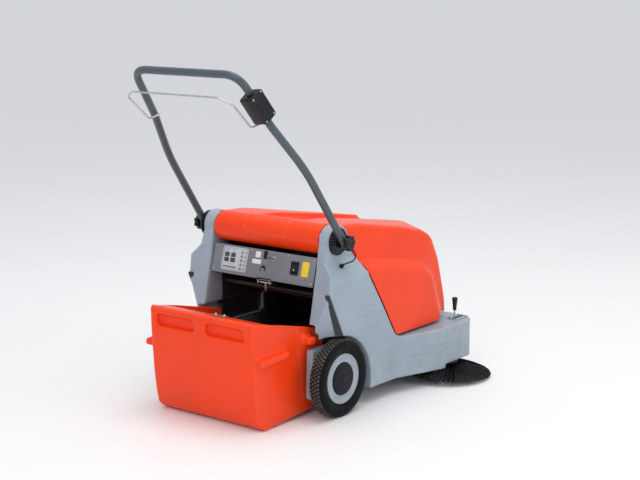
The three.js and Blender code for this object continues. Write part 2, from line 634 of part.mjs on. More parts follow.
addPiece('latch_bracket', cut(
  join(
    box([latch.x0, latch.x1], [-27, 4], [408, 410.5]),
    box([latch.x0, latch.x0 + 3], [-36, 0], [395, 410]),
    box([latch.x1 - 3, latch.x1], [-36, 0], [395, 410]),
  ),
  rodX(-40, 60, latch.pivotY, latch.pivotZ, 3.4, 12),
), paint.steel);
addPiece('hopper_latch', join(
  rodX(latch.x0 - 3, latch.x1 + 3, latch.pivotY, latch.pivotZ, 3, 12),
  rodBetween([latch.barX, latch.pivotY, latch.pivotZ], [latch.barX, latch.pivotY + 1, 374], 3.6, 10),
), paint.steel);

// ---------------------------------------------------------------------------------------------
// Hopper: an open-topped bin with side ribs and lugs that run in the mouldings' channels
// ---------------------------------------------------------------------------------------------

const bottomRise = Math.tan(hopper.travelAngle);
const hopperFoot = -266;
const hopperFront = 14;

function bottomAt(y) {
  return 1.2 + (y - hopperFoot) * bottomRise;
}

const hopperRear = [
  [-286, 10], [-299, 27], [-308, 62], [-317, 131], [-323, 219], [-327, 290], [-327, 336], [-323, 345],
];

function hopperBin() {
  const body = hull(mirroredPoints([
    ...hopperRear.flatMap(([y, z]) => (
      [[hopper.half - 10, y, z], [hopper.half - 3, y + 3, z], [hopper.half, y + 10, z]])),
    ...[[-313, 348], [-199, 325], [-63, 293], [hopperFront, 275], [hopperFront, bottomAt(hopperFront)],
      [hopperFoot, bottomAt(hopperFoot)]].map(([y, z]) => [hopper.half, y, z]),
  ]));
  const wall = hopper.wall;
  const inside = prismX([
    [-321, 330], [-318, 339], [-246, 326], [-246, 400], [hopperFront - wall, 400],
    [hopperFront - wall, bottomAt(hopperFront) + wall], [hopperFoot, bottomAt(hopperFoot) + wall],
    [-282, 15], [-293, 31], [-302, 64], [-311, 132], [-317, 219],
  ], -hopper.half + wall, hopper.half - wall);
  const frontMouth = box([-hopper.half + wall, hopper.half - wall], [0, 40], [165, 400]);
  const grips = [[-189, -27], [20, 180]];
  const gripCuts = grips.map(([x0, x1]) => prismX([
    [-340, 287], [-302, 287], [-306, 325], [-340, 325],
  ], x0, x1));
  const gripWalls = grips.map(([x0, x1]) => prismX([[-340, 282], [-297, 282], [-301, 330], [-340, 330]],
    x0 - wall, x1 + wall));
  const sideGroove = (sign) => hull([
    [sign * 215.5, -121, 303], [sign * 215.5, -117, 303], [sign * 215.5, -88, 8], [sign * 215.5, -84, 8],
    [sign * 219, -124, 303], [sign * 219, -114, 303], [sign * 219, -91, 8], [sign * 219, -81, 8],
  ]);
  const rib = (sign) => hull([
    [sign * 216, -308, 209], [sign * 216, -308, 238], [sign * 216, -165, 219], [sign * 216, -165, 245],
    [sign * 246, -322, 211], [sign * 246, -322, 235], [sign * 246, -182, 220], [sign * 246, -182, 241],
  ]);
  const lug = (sign) => hull([
    [sign * 216, -90, 236], [sign * 216, -90, 268], [sign * 216, -44, 236], [sign * 216, -44, 266],
    [sign * 245, -87, 240], [sign * 245, -87, 264], [sign * 245, -50, 240], [sign * 245, -50, 262],
  ]);
  return join(
    cut(body, cut(inside, ...gripWalls), frontMouth, ...gripCuts, sideGroove(1), sideGroove(-1)),
    rib(1), rib(-1), lug(1), lug(-1),
  );
}

const catchPlate = join(
  hull([
    [18, -296, 345.6], [70, -296, 345.6], [18, -262, 338.9], [70, -262, 338.9],
    [18, -296, 348], [70, -296, 348], [18, -262, 341.3], [70, -262, 341.3],
  ]),
  rodBetween([26, -279, 343], [26, -279, 347.5], 5, 12),
  rodBetween([62, -279, 343], [62, -279, 347.5], 5, 12),
);
addPiece('hopper_bin', cut(hopperBin(), catchPlate), paint.orange);
addPiece('hopper_catch_plate', catchPlate.translate([0, 0, 0.5]), paint.steel);

// ---------------------------------------------------------------------------------------------
// Hood: a roll at the rear that turns between the necks, and one shell over the machinery
// ---------------------------------------------------------------------------------------------

function hoodForm(inset, floor) {
  const half = hood.half - inset;
  const lower = hull(mirroredPoints([
    [half, 60, floor], [half, 60, 438 - inset], [half, 179, 441 - inset], [half, 314, 419 - inset],
    [half - 1, 490, 388 - inset], [half - 1, 521 - inset, 368 - inset], [half, 590 - inset, floor],
    [half - 8, 60, 462 - inset], [half - 8, 176, 458 - inset], [half - 8, 310, 436 - inset],
    [half - 10, 490, 406 - inset], [half - 12, 530 - inset, 384 - inset],
    [half - 30, 60, 478 - inset], [half - 30, 176, 476 - inset], [half - 30, 310, 456 - inset],
    [half - 31, 490, 420 - inset], [half - 34, 560 - inset, 385 - inset], [half - 40, 655 - inset, floor],
    [half - 80, 672 - inset, floor], [0, 684 - inset, floor], [half - 120, 640 - inset, 400 - inset],
  ]));
  const top = hood.upperHalf - inset;
  const crest = [[36, 602], [100, 601], [167, 597], [277, 577], [415, 552], [521, 526], [562, 507]];
  const upper = hull(mirroredPoints([
    ...crest.map(([y, z]) => [top - 16, y, z - inset]),
    ...crest.map(([y, z]) => [top - 5, y, z - inset - 5]),
    ...crest.map(([y, z]) => [top, y, z - inset - 18]),
    [top + 6, 60, 470], [top + 6, 480, 415],
    [top - 12, 592 - inset, 480 - inset], [top - 4, 621 - inset, 407 - inset],
    [top - 2, 637 - inset, 350 - inset], [top, 661 - inset, 254 - inset],
    [top, 60, floor], [top, 664 - inset, floor],
    [120, 604 - inset, 528 - inset], [0, 614 - inset, 530 - inset], [0, 650 - inset, 503 - inset],
    [120, 642 - inset, 498 - inset], [0, 679 - inset, 385 - inset], [120, 672 - inset, 376 - inset],
    [0, 694 - inset, 245 - inset], [120, 689 - inset, 245 - inset], [0, 696 - inset, floor],
    [120, 692 - inset, floor],
  ]));
  return lower.add(upper);
}

// The channel down the middle of the top: shallow at both ends, deepest over the batteries.
function hoodChannel(drop) {
  const stations = [
    [20, 603, 10], [81, 601, 10], [228, 586, 17], [422, 551, 20], [568, 524, 6], [648, 511, 0],
  ];
  const points = stations.map(([y, top, depth]) => [y, top - depth - drop]);
  return prismX([...points, [640, 640], [20, 640]], -88 - drop, 88 + drop);
}

function hoodShell() {
  const roll = rodX(-panel.inner + 0.8, panel.inner - 0.8, hinge.y, hinge.z, hinge.rollRadius, 32);
  const rollHollow = rodX(
    -panel.inner + 8, panel.inner - 8, hinge.y, hinge.z, hinge.rollRadius - hood.wall, 22);
  const rollFlat = prismX([
    ...arcPoints(hinge.y, hinge.z, hinge.rollRadius - 3, 182, 90, 9),
    ...arcPoints(hinge.y, hinge.z, hinge.rollRadius + 8, 90, 182, 9),
  ], -88, 88);
  const outer = cut(hoodForm(0, 180), hoodChannel(0), box([-400, 400], [0, hinge.y], [100, 700]));
  const inner = cut(
    hoodForm(hood.wall, 100), hoodChannel(hood.wall), box([-400, 400], [-10, 66], [588, 700]));
  const seamGap = 2.2;
  const behindSeam = [
    [-200, 100], [-200, 680], [hinge.y, 680],
    ...arcPoints(hinge.y, hinge.z, hinge.neckRadius + seamGap, 90, -18, 10),
    ...[...seamLine].reverse().map(([y, z]) => [y + seamGap, z + 1.5]),
    [568, hood.bottom], [572, 216], [760, 214], [760, 100],
  ];
  const cutters = BOTH_SIDES.map(({ sign }) => prismX(behindSeam, ...span(sign, panel.inner - 0.8, 420)));
  const underFront = box([-panel.inner, panel.inner], [-200, 760], [0, 214]);
  const skin = cut(outer, inner, underFront, ...cutters);
  const pinHole = rodX(-400, 400, hinge.y, hinge.z, hinge.pinRadius + GAP + 0.3);
  return cut(join(skin, roll), rollHollow, rollFlat, pinHole);
}
addPiece('hood', hoodShell(), paint.orange);

for (const { name, sign } of BOTH_SIDES) {
  const [x0, x1] = span(sign, 206, 237);
  addPiece(`hood_pin_${name}`, rodX(x0, x1, hinge.y, hinge.z, hinge.pinRadius, 18), paint.steel);
}

// ---------------------------------------------------------------------------------------------
// Push handle: one bent tube, clamped to the necks, with a switch box and a wire bail
// ---------------------------------------------------------------------------------------------

const handleCorners = {
  foot: [handleTube.x, 37, 542], pivot: [handleTube.x, handlePivot.y, handlePivot.z],
  lowerBend: [285, -152, 804], upperBend: [237, -262, 949], top: [214, -375, 1101],
};
const rightLeg = [handleCorners.foot, handleCorners.lowerBend, handleCorners.upperBend, handleCorners.top];
const leftLeg = [...rightLeg].reverse().map(([x, y, z]) => [-x, y, z]);
const handleRoute = roundedRoute([...rightLeg, ...leftLeg], [60, 24, 56, 56, 24, 60], 5);
const handleBore = tube(handleRoute, handleTube.radius - handleTube.wall, 12);
const boltPassage = rodX(-330, 330, handlePivot.y, handlePivot.z, handlePivot.boltRadius + GAP, 14);
addPiece('handle_tube', cut(tube(handleRoute, handleTube.radius, 12), handleBore, boltPassage), paint.slate);

const legDirection = new THREE.Vector3(...handleCorners.top)
  .sub(new THREE.Vector3(...handleCorners.upperBend)).normalize();
const switchBox = {
  halfDepth: 27, halfHeight: 48, corner: 7, width: 50, alongLeg: 74, offset: [6, -6.4, -1.75],
};
const boxCentre = new THREE.Vector3(...handleCorners.upperBend)
  .addScaledVector(legDirection, switchBox.alongLeg)
  .add(new THREE.Vector3(...switchBox.offset));

function roundedPlate(halfU, halfV, radius, length) {
  const points = [
    ...arcPoints(halfU - radius, halfV - radius, radius, 0, 90, 3),
    ...arcPoints(-halfU + radius, halfV - radius, radius, 90, 180, 3),
    ...arcPoints(-halfU + radius, -halfV + radius, radius, 180, 270, 3),
    ...arcPoints(halfU - radius, -halfV + radius, radius, 270, 360, 3),
  ];
  return prismX(points, -length / 2, length / 2);
}

function alongLeg(solid) {
  const turn = new THREE.Matrix4();
  const up = legDirection.clone();
  const side = new THREE.Vector3(1, 0, 0).addScaledVector(up, -up.x).normalize();
  const across = new THREE.Vector3().crossVectors(up, side);
  turn.makeBasis(side, across, up);
  turn.setPosition(boxCentre);
  return solid.transform(turn.elements);
}
addPiece('switch_box', cut(
  alongLeg(roundedPlate(switchBox.halfDepth, switchBox.halfHeight, switchBox.corner, switchBox.width)),
  rodBetween(handleCorners.upperBend, handleCorners.top, handleTube.radius + GAP, 20),
), paint.black);

const bail = { y: -268, z: 954, radius: 3 };
const bailCorners = [
  [222.5, bail.y, bail.z], [210, bail.y, bail.z], [209, -314, 943], [214, -400, 1017], [177, -421, 1037],
];
const bailRoute = roundedRoute(
  [...bailCorners, ...[...bailCorners].reverse().map(([x, y, z]) => [-x, y, z])],
  [5, 12, 12, 14, 14, 12, 12, 5], 4);
addPiece('bail_wire', tube(bailRoute, bail.radius, 8), paint.steel);

// Each detent disc is keyed to its leg, and a knob on a fixed bolt clamps the leg against the neck.
function detentDisc() {
  return turnedX([
    [handlePivot.boltRadius + GAP, 268.5], [44, 268.5], [44, 276], [40, 280.8],
    [handlePivot.boltRadius + GAP, 280.8], [handlePivot.boltRadius + GAP, 268.5],
  ], 28, handlePivot.y, handlePivot.z);
}

function starKnob() {
  const lobes = 7;
  const outline = Array.from({ length: lobes * 4 }, (_, i) => {
    const angle = i / (lobes * 4) * Math.PI * 2;
    const reach = [26, 25, 21.5, 25][i % 4];
    return [handlePivot.y + reach * Math.cos(angle), handlePivot.z + reach * Math.sin(angle)];
  });
  const head = prismX(outline, 309, 326);
  const collar = rodX(handleTube.x + handleTube.radius + GAP, 310, handlePivot.y, handlePivot.z, 14, 20);
  const bore = rodX(300, 322, handlePivot.y, handlePivot.z, handlePivot.boltRadius + GAP, 14);
  return cut(join(head, collar), bore);
}

const clampBolt = rodX(242, 321, handlePivot.y, handlePivot.z, handlePivot.boltRadius, 14);
for (const { name, sign } of BOTH_SIDES) {
  addPiece(`clamp_bolt_${name}`, mirrored(clampBolt, sign), paint.steel);
  addPiece(`detent_disc_${name}`, mirrored(detentDisc(), sign), paint.black);
  addPiece(`clamp_knob_${name}`, mirrored(starKnob(), sign), paint.black);
}

// The switch cable comes out of the leg's open foot, loops once and enters the right shoulder.
const glandStart = new THREE.Vector3(283.6, 26, 480.4);
const glandOut = new THREE.Vector3(0.795, 0, 0.606).normalize();
addPiece('cable_gland', rodBetween(
  glandStart.toArray(), glandStart.clone().addScaledVector(glandOut, 9).toArray(), 7, 16, 5), paint.black);
const cableRoute = new THREE.CatmullRomCurve3([
  glandStart.clone().addScaledVector(glandOut, 10.4),
  new THREE.Vector3(299.5, 29.5, 491.5),
  new THREE.Vector3(306, 40, 494.5),
  new THREE.Vector3(310, 52, 497.5),
  new THREE.Vector3(311, 62, 505),
  new THREE.Vector3(309.5, 66, 516.5),
  new THREE.Vector3(305.5, 62, 528),
  new THREE.Vector3(300.5, 52.5, 534),
  new THREE.Vector3(handleTube.x, 42, 536),
]);
addPiece('handle_cable', tube(cableRoute.getSpacedPoints(20), 2.2, 8), paint.black);

// ---------------------------------------------------------------------------------------------
// Side brush on its lift arm, and the lever that raises it
// ---------------------------------------------------------------------------------------------

const arm = { pivotY: 444, pivotZ: 128, innerX: 240, outerX: 348 };
addPiece('side_brush_arm', join(
  rodX(arm.innerX, arm.outerX - 30, arm.pivotY, arm.pivotZ, 9, 16),
  box([262, 286], [arm.pivotY, 570], [arm.pivotZ - 6, arm.pivotZ + 3]),
  rodBetween([sideBrush.x, sideBrush.y, 78], [sideBrush.x, sideBrush.y, 138], sideBrush.motorRadius, 24),
  box([262, 318], [550, 590], [arm.pivotZ - 6, arm.pivotZ + 3]),
), paint.black);

const brushGroup = new THREE.Group();
brushGroup.position.set(sideBrush.x, sideBrush.y, sideBrush.z);
const tiltAxis = new THREE.Vector3(-1, 1, 0).normalize();
brushGroup.quaternion.setFromAxisAngle(tiltAxis, THREE.MathUtils.degToRad(sideBrush.tilt));
sweeper.add(brushGroup);
addPiece('side_brush_disc', turned([
  [0, 4], [sideBrush.discRadius, 4], [sideBrush.discRadius, 12], [20, 16], [14, 24], [0, 24],
], 24), paint.black, brushGroup);
addPiece('side_brush_bristles', turned([
  [18, 0], [34, -8], [sideBrush.radius - 2, -32.3], [sideBrush.radius, -26.5],
  [52, 0], [44, 3.6], [18, 3.6], [18, 0],
], 32), paint.bristle, brushGroup);

const guideTop = panel.ledgeHeight + 3;
addPiece('lever_guide', cut(
  join(
    box([289, 333], [630, 704], [panel.ledgeHeight + GAP, guideTop]),
    box([296, 303], [642, 668], [114, panel.ledgeHeight + 1]),
    box([319, 326], [642, 668], [114, panel.ledgeHeight + 1]),
  ),
  box([306, 316], [640, 699], [panel.ledgeHeight - 3, guideTop + 3]),
  rodX(285, 335, liftLever.y, liftLever.pivotHeight, 4.4, 12),
), paint.black);
addPiece('lift_lever', join(
  rodX(297, 325, liftLever.y, liftLever.pivotHeight, 4, 12),
  rodBetween([liftLever.x, liftLever.y, liftLever.pivotHeight], [liftLever.x, liftLever.y, 236], 3, 10),
  rodBetween([liftLever.x, liftLever.y, 232], [liftLever.x, liftLever.y, 272], 6, 12, 10),
), paint.black);

sweeper.position.set(-FOOTPRINT_CENTRE.x, -FOOTPRINT_CENTRE.y, 0);

export default sweeper;
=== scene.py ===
# Looks of the walk-behind sweeper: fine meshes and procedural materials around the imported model.
#
# Shapes are built in the machine's own millimetres, measured from the middle plane, the rear axle
# and the floor, and are then placed in the frame, which is in metres.

import json
import math
import random

import bmesh
import bpy
import numpy as np
from mathutils import Matrix, Vector, kdtree


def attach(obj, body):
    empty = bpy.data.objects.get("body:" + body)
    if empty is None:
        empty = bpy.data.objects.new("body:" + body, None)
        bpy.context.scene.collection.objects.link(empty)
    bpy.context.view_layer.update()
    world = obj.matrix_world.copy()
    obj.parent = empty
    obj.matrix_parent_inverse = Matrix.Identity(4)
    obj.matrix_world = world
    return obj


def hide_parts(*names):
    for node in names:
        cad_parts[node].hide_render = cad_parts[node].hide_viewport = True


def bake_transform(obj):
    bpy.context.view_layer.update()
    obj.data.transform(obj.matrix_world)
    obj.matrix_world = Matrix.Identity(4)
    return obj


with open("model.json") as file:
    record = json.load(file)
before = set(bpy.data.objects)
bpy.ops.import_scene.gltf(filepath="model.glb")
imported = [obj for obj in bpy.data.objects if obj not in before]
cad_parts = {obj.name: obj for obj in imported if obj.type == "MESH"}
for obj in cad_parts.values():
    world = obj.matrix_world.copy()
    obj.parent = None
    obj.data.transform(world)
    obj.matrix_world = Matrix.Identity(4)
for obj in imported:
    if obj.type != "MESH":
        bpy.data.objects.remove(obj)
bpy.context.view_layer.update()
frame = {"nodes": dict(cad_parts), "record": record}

MM = 0.001
MACHINE_ZERO = Vector((-0.050, -0.170, 0.0))
BOTH_SIDES = (("right", 1), ("left", -1))
RIGHT = Vector((1, 0, 0))
UP = Vector((0, 0, 1))

WHEEL = {"radius": 125, "inner": 267, "outer": 319, "rim": 81, "cap": 52}
HANDLE_PIVOT = {"y": 24, "z": 560}
HANDLE_RADIUS = 12.2
MAIN_BRUSH = {"y": 410, "z": 121, "radius": 118, "core": 54, "left": -198, "right": 176,
              "rows": 6, "tufts": 75, "strands": 7, "twist": 80}
SIDE_BRUSH = {"centre": Vector((300, 605, 46)), "radius": 168, "root": 36, "tilt": 4.0,
              "strands": 2800, "tufts": 58}
CASTER = {"y": 628, "z": 37.5, "radius": 37.5}
CONSOLE = {"centre": Vector((0, -22, 459)), "lean": 15.8}
LEVER = {"x": 311, "y": 648, "ledge": 195}


# ---- Materials ----

NOISE_SPAN = (0.3, 0.7)


def colour(red, green, blue):
    """A screen colour, 0 to 255, as the linear colour that shaders take."""
    def linear(value):
        share = value / 255
        return share / 12.92 if share <= 0.04045 else ((share + 0.055) / 1.055) ** 2.4
    return (linear(red), linear(green), linear(blue), 1.0)


class Finish:
    """A procedural material: a Principled shader and short calls that add nodes in front of it.

    Colours are given as screen colours, and every call that adds a layer returns the finish."""

    def __init__(self, name, base, roughness, metallic=0.0, coat=0.0, specular=0.5):
        self.material = bpy.data.materials.new(name)
        self.material.use_nodes = True
        self.tree = self.material.node_tree
        self.shader = self.tree.nodes["Principled BSDF"]
        for socket, value in (("Metallic", metallic), ("Coat Weight", coat), ("Coat Roughness", 0.25),
                              ("Specular IOR Level", specular)):
            self.shader.inputs[socket].default_value = value
        self.base = colour(*base)
        self.roughness = roughness
        flat = self.node("ShaderNodeRGB")
        flat.outputs[0].default_value = self.base
        self.colour = flat.outputs[0]
        self.rough = None
        self.height = None
        self.place = self.node("ShaderNodeTexCoord").outputs["Object"]

    def node(self, kind, values=None, **settings):
        """A new node. values fill its sockets with numbers, colours or the outputs of other nodes."""
        made = self.tree.nodes.new(kind)
        for name, value in settings.items():
            setattr(made, name, value)
        for socket, value in (values or {}).items():
            if isinstance(value, bpy.types.NodeSocket):
                self.tree.links.new(value, made.inputs[socket])
            else:
                made.inputs[socket].default_value = value
        return made

    def stretched(self, x, y, z):
        return self.node("ShaderNodeMapping", {"Scale": (x, y, z), "Vector": self.place}).outputs["Vector"]

    def noise(self, scale, detail, roughness=0.55, vector=None, distortion=0.0):
        return self.node("ShaderNodeTexNoise", {
            "Scale": scale, "Detail": detail, "Roughness": roughness, "Distortion": distortion,
            "Vector": vector or self.place}).outputs["Fac"]

    def spread(self, value, low, high, to_low=0.0, to_high=1.0):
        return self.node("ShaderNodeMapRange", {
            "Value": value, "From Min": low, "From Max": high, "To Min": to_low, "To Max": to_high},
            clamp=True).outputs["Result"]

    def maths(self, kind, first, second):
        return self.node("ShaderNodeMath", {0: first, 1: second}, operation=kind).outputs[0]

    def times(self, first, second):
        return self.maths("MULTIPLY", first, second)

    def attribute(self, name):
        return self.node("ShaderNodeAttribute", attribute_name=name).outputs["Fac"]

    def painted(self, amount, value):
        """Lays a second, linear colour over what is there, by a share from 0 to 1."""
        mix = self.node("ShaderNodeMix", {"Factor": amount, "A": self.colour, "B": value}, data_type="RGBA")
        self.colour = mix.outputs["Result"]
        return self

    def rougher(self, amount):
        self.rough = amount if self.rough is None else self.maths("ADD", self.rough, amount)
        return self

    def raised(self, amount):
        self.height = amount if self.height is None else self.maths("ADD", self.height, amount)
        return self

    def mottled(self, scale, dark, light):
        shade = self.spread(self.noise(scale, 4), *NOISE_SPAN)
        low, high = [tuple(min(v * share, 1) for v in self.base[:3]) + (1,) for share in (dark, light)]
        self.painted(self.maths("SUBTRACT", 1.0, shade), low)
        return self.painted(self.times(shade, 0.6), high)

    def grained(self, scale, depth):
        grain = self.noise(scale, 2)
        self.raised(self.times(grain, depth))
        return self.rougher(self.spread(grain, *NOISE_SPAN, -0.05, 0.05))

    def scratched(self, value, amount, scale, long, least):
        lines = self.noise(scale, 8, 0.7, self.stretched(*long), 0.6)
        patches = self.spread(self.noise(4.0, 3), 0.48, 0.62)
        share = self.times(self.spread(lines, least, least + 0.1), patches)
        self.painted(self.times(share, amount), colour(*value))
        self.raised(self.times(share, -0.25))
        return self.rougher(self.times(share, 0.15))

    def drawn(self):
        """Fine lines along x, as on drawn wire."""
        streak = self.noise(60, 4, 0.6, self.stretched(1, 14, 14))
        self.rougher(self.spread(streak, *NOISE_SPAN, -0.08, 0.12))
        return self.raised(self.times(streak, 0.3))

    def patched(self, value, amount, scale, detail, low, high, roughness=0.55):
        """Cloudy patches of a second colour."""
        share = self.spread(self.noise(scale, detail, roughness), low, high, 0.0, amount)
        return self.painted(share, colour(*value))

    def uneven(self, scale, detail, low, high):
        """A gloss that changes over the surface."""
        return self.rougher(self.spread(self.noise(scale, detail), *NOISE_SPAN, low, high))

    def edge_wear_and_highlight(self, value, amount):
        """Edges rubbed lighter or darker, by the attribute that softened() leaves on a mesh; the lighter
        edges are partly wear and partly a painted highlight where light catches them.
        """
        broken = self.times(self.attribute("edge"), self.spread(self.noise(60, 5), 0.35, 0.65))
        return self.painted(self.times(broken, amount), colour(*value))

    def stained(self, name, value, low, high):
        """A colour laid on by an attribute of the mesh, its strength clouded between two shares."""
        strength = self.spread(self.noise(22, 4), *NOISE_SPAN, low, high)
        return self.painted(self.times(self.attribute(name), strength), colour(*value))

    def dusty(self, value, amount, low, high):
        """Dust from the floor up, thinning out between two heights in metres."""
        axes = self.node("ShaderNodeSeparateXYZ", {0: self.place})
        rise = self.spread(axes.outputs["Z"], low, high, 1.0, 0.0)
        share = self.times(rise, self.spread(self.noise(22, 6, 0.65), 0.38, 0.72))
        self.rougher(self.times(share, 0.2))
        return self.painted(self.times(share, amount), colour(*value))

    def done(self, bump=0.3, distance=0.0006):
        link = self.tree.links.new
        link(self.colour, self.shader.inputs["Base Color"])
        total = self.maths("ADD", self.rough, self.roughness)
        link(self.spread(total, 0.05, 1.0, 0.05, 1.0), self.shader.inputs["Roughness"])
        if self.height is not None:
            relief = self.node("ShaderNodeBump", {
                "Strength": bump, "Distance": distance, "Height": self.height})
            link(relief.outputs["Normal"], self.shader.inputs["Normal"])
        return self.material


def black_plastic(name, shade, roughness, grain):
    finish = Finish(name, (shade, shade, shade + 3), roughness, specular=0.34)
    finish.mottled(30, 0.8, 1.25).grained(grain, 0.5).scratched((66, 66, 68), 0.35, 12.0, (2, 2, 9), 0.62)
    return finish.dusty((84, 80, 74), 0.2, 0.0, 0.45).done(0.4)


def printed_film(name, base, speckle=0.05):
    finish = Finish(name, base, 0.32).mottled(40, 0.96, 1.03).grained(3000, 0.25)
    return finish.patched((90, 90, 90), speckle, 300, 4, 0.55, 0.75).done(0.2)


# Every finish: the material of the record that it stands for, and its Blender material.
# The lighter edges of the orange, grey and rim finishes are partly wear and partly a painted highlight.
FINISHES = {
    "orange": (
        "hood_plastic", Finish("orange_polyethylene", (246, 66, 19), 0.3, specular=0.26)
        .mottled(5, 0.92, 1.03).grained(700, 0.25).scratched((190, 56, 30), 0.45, 2.6, (1, 1, 9), 0.59)
        .edge_wear_and_highlight((255, 112, 66), 0.25).dusty((186, 84, 56), 0.35, 0.0, 0.16).done(0.25)),
    "grey": (
        "grey_plastic", Finish("grey_polyethylene", (154, 168, 180), 0.38, specular=0.4)
        .mottled(6, 0.9, 1.05).grained(800, 0.3).scratched((86, 92, 98), 0.75, 3.2, (2.2, 1.1, 15), 0.57)
        .scratched((200, 208, 214), 0.5, 7.0, (3, 2, 22), 0.6).edge_wear_and_highlight((188, 198, 206), 0.25)
        # The bay attribute lays near-black painted shade, with some dust, on the inner walls of the hopper's
        # bay.
        .dusty((128, 126, 120), 0.45, 0.02, 0.30).stained("bay_shade_and_dust", (20, 19, 20), 0.96, 0.96).done(0.3)),
    "console": (
        "console_paint", Finish("console_paint", (122, 126, 131), 0.45, specular=0.4)
        .mottled(14, 0.94, 1.04).grained(1800, 0.6)
        .scratched((170, 174, 178), 0.4, 9.0, (6, 1, 3), 0.62).done(0.35)),
    "black": ("black_plastic", black_plastic("black_plastic", 9, 0.36, 1500)),
    "knob": ("black_plastic", black_plastic("knob_plastic", 8, 0.32, 900)),
    "tyre": (
        "tyre", Finish("tyre_rubber", (8, 10, 13), 0.55, specular=0.12)
        .mottled(26, 0.75, 1.35).grained(1100, 0.6).patched((70, 64, 58), 0.16, 14, 6, 0.5, 0.72, 0.7)
        .stained("tread_dust", (112, 106, 101), 0.3, 0.75).uneven(40, 3, -0.08, 0.08).done(0.45)),
    "rubber": (
        "rubber", Finish("soft_rubber", (20, 20, 22), 0.6, specular=0.25)
        .mottled(20, 0.8, 1.3).grained(900, 0.4).dusty((110, 104, 96), 0.3, 0.0, 0.25).done(0.4)),
    "rim": (
        "rim_plastic", Finish("rim_plastic", (158, 168, 177), 0.45, specular=0.4)
        .mottled(18, 0.9, 1.06).grained(900, 0.35).scratched((96, 98, 100), 0.4, 9.0, (3, 3, 8), 0.6)
        .edge_wear_and_highlight((200, 206, 210), 0.3).dusty((120, 112, 102), 0.4, 0.02, 0.26).done(0.3)),
    "cap": (
        "cap_plastic", Finish("cap_plastic", (17, 21, 27), 0.45, specular=0.2)
        .mottled(24, 0.85, 1.15).grained(1400, 0.35)
        .scratched((84, 88, 94), 0.3, 10.0, (3, 3, 12), 0.62).done(0.3)),
    "slate": (
        "slate_tube", Finish("slate_powder_coat", (74, 85, 93), 0.34, 0.1, 0.2, 0.4)
        .mottled(20, 0.9, 1.1).grained(2400, 0.7)
        .scratched((132, 138, 142), 0.5, 11.0, (4, 4, 3), 0.66).done(0.3)),
    "dark_steel": (
        "dark_steel", Finish("dark_painted_steel", (24, 24, 27), 0.5, 0.2, specular=0.3)
        .mottled(12, 0.8, 1.15).grained(1200, 0.4).scratched((104, 104, 104), 0.5, 8.0, (4, 4, 10), 0.6)
        .dusty((96, 88, 78), 0.4, 0.0, 0.5).done(0.35)),
    "steel": (
        "bright_steel", Finish("zinc_plated_steel", (196, 199, 202), 0.26, 1.0)
        .patched((150, 150, 148), 0.4, 35, 5, 0.35, 0.7).drawn().done(0.2, 0.0003)),
    "bristle": (
        "bristles", Finish("bristle_nylon", (12, 12, 14), 0.42, specular=0.3)
        .mottled(90, 0.6, 1.9).uneven(70, 3, -0.1, 0.15).dusty((70, 66, 62), 0.25, 0.0, 0.05).done()),
    "strip": (
        "dark_steel", Finish("guard_strip_rubber", (58, 62, 66), 0.5, specular=0.35)
        .mottled(40, 0.8, 1.2).grained(1500, 0.5)
        .scratched((128, 132, 136), 0.5, 9.0, (3, 3, 2), 0.6).done(0.35)),
    "filter": (
        "filter_paper", Finish("filter_paper", (206, 198, 178), 0.9, specular=0.2)
        .mottled(30, 0.85, 1.05).grained(1800, 0.8)
        .patched((120, 112, 98), 0.5, 12, 6, 0.45, 0.75).done(0.6)),
    "battery": (
        "battery_case", Finish("battery_housing", (42, 43, 46), 0.5)
        .mottled(16, 0.85, 1.15).grained(1000, 0.5)
        .scratched((96, 96, 98), 0.4, 8.0, (3, 3, 6), 0.62).done(0.4)),
    "film": ("decal", printed_film("silver_film", (190, 198, 202))),
    "print": ("decal", printed_film("dark_print", (58, 62, 66), 0.0)),
    "label": ("decal", printed_film("white_label", (232, 233, 230))),
    "yellow": ("decal", printed_film("yellow_plate", (240, 208, 20))),
    "red": ("black_plastic", printed_film("red_terminal", (168, 24, 20), 0.0)),
}


# ---- Mesh building, in millimetres ----

def linked(name, data):
    """A new object in the scene."""
    made = bpy.data.objects.new(name, data)
    bpy.context.scene.collection.objects.link(made)
    return made


def dressed(name, mesh, finish, replaces):
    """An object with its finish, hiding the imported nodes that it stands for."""
    record_slot, material = FINISHES[finish]
    mesh.materials.append(material)
    piece = linked(name, mesh)
    if replaces:
        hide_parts(*replaces)
    return piece


def link_piece(name, mesh, finish, body, replaces=()):
    piece = dressed(name, mesh, finish, replaces)
    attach(piece, body)
    return piece


def smooth_by_angle(mesh, degrees):
    mesh.shade_smooth()
    mesh.set_sharp_from_angle(angle=math.radians(degrees))


def plain_mesh(name, bm):
    mesh = bpy.data.meshes.new(name)
    bm.to_mesh(mesh)
    bm.free()
    return mesh


def mesh_in_frame(name, bm, crease):
    """A millimetre mesh, moved into the frame."""
    bmesh.ops.scale(bm, vec=(MM, MM, MM), verts=bm.verts)
    bmesh.ops.translate(bm, vec=MACHINE_ZERO, verts=bm.verts)
    mesh = plain_mesh(name, bm)
    smooth_by_angle(mesh, crease)
    return mesh


def finish_piece(name, bm, finish, body, replaces=(), crease=34, basis=None):
    """Turns a millimetre mesh into a piece that rides on a body. basis places local coordinates."""
    if basis is not None:
        bmesh.ops.transform(bm, matrix=basis, verts=bm.verts)
    bmesh.ops.recalc_face_normals(bm, faces=bm.faces)
    return link_piece(name, mesh_in_frame(name, bm, crease), finish, body, replaces)


def basis_at(origin, out, side=RIGHT):
    """Local coordinates with z along out and x as near to side as it can be."""
    z = Vector(out).normalized()
    x = (Vector(side) - z * z.dot(Vector(side))).normalized()
    y = z.cross(x)
    return Matrix.Translation(Vector(origin)) @ Matrix((x, y, z)).transposed().to_4x4()


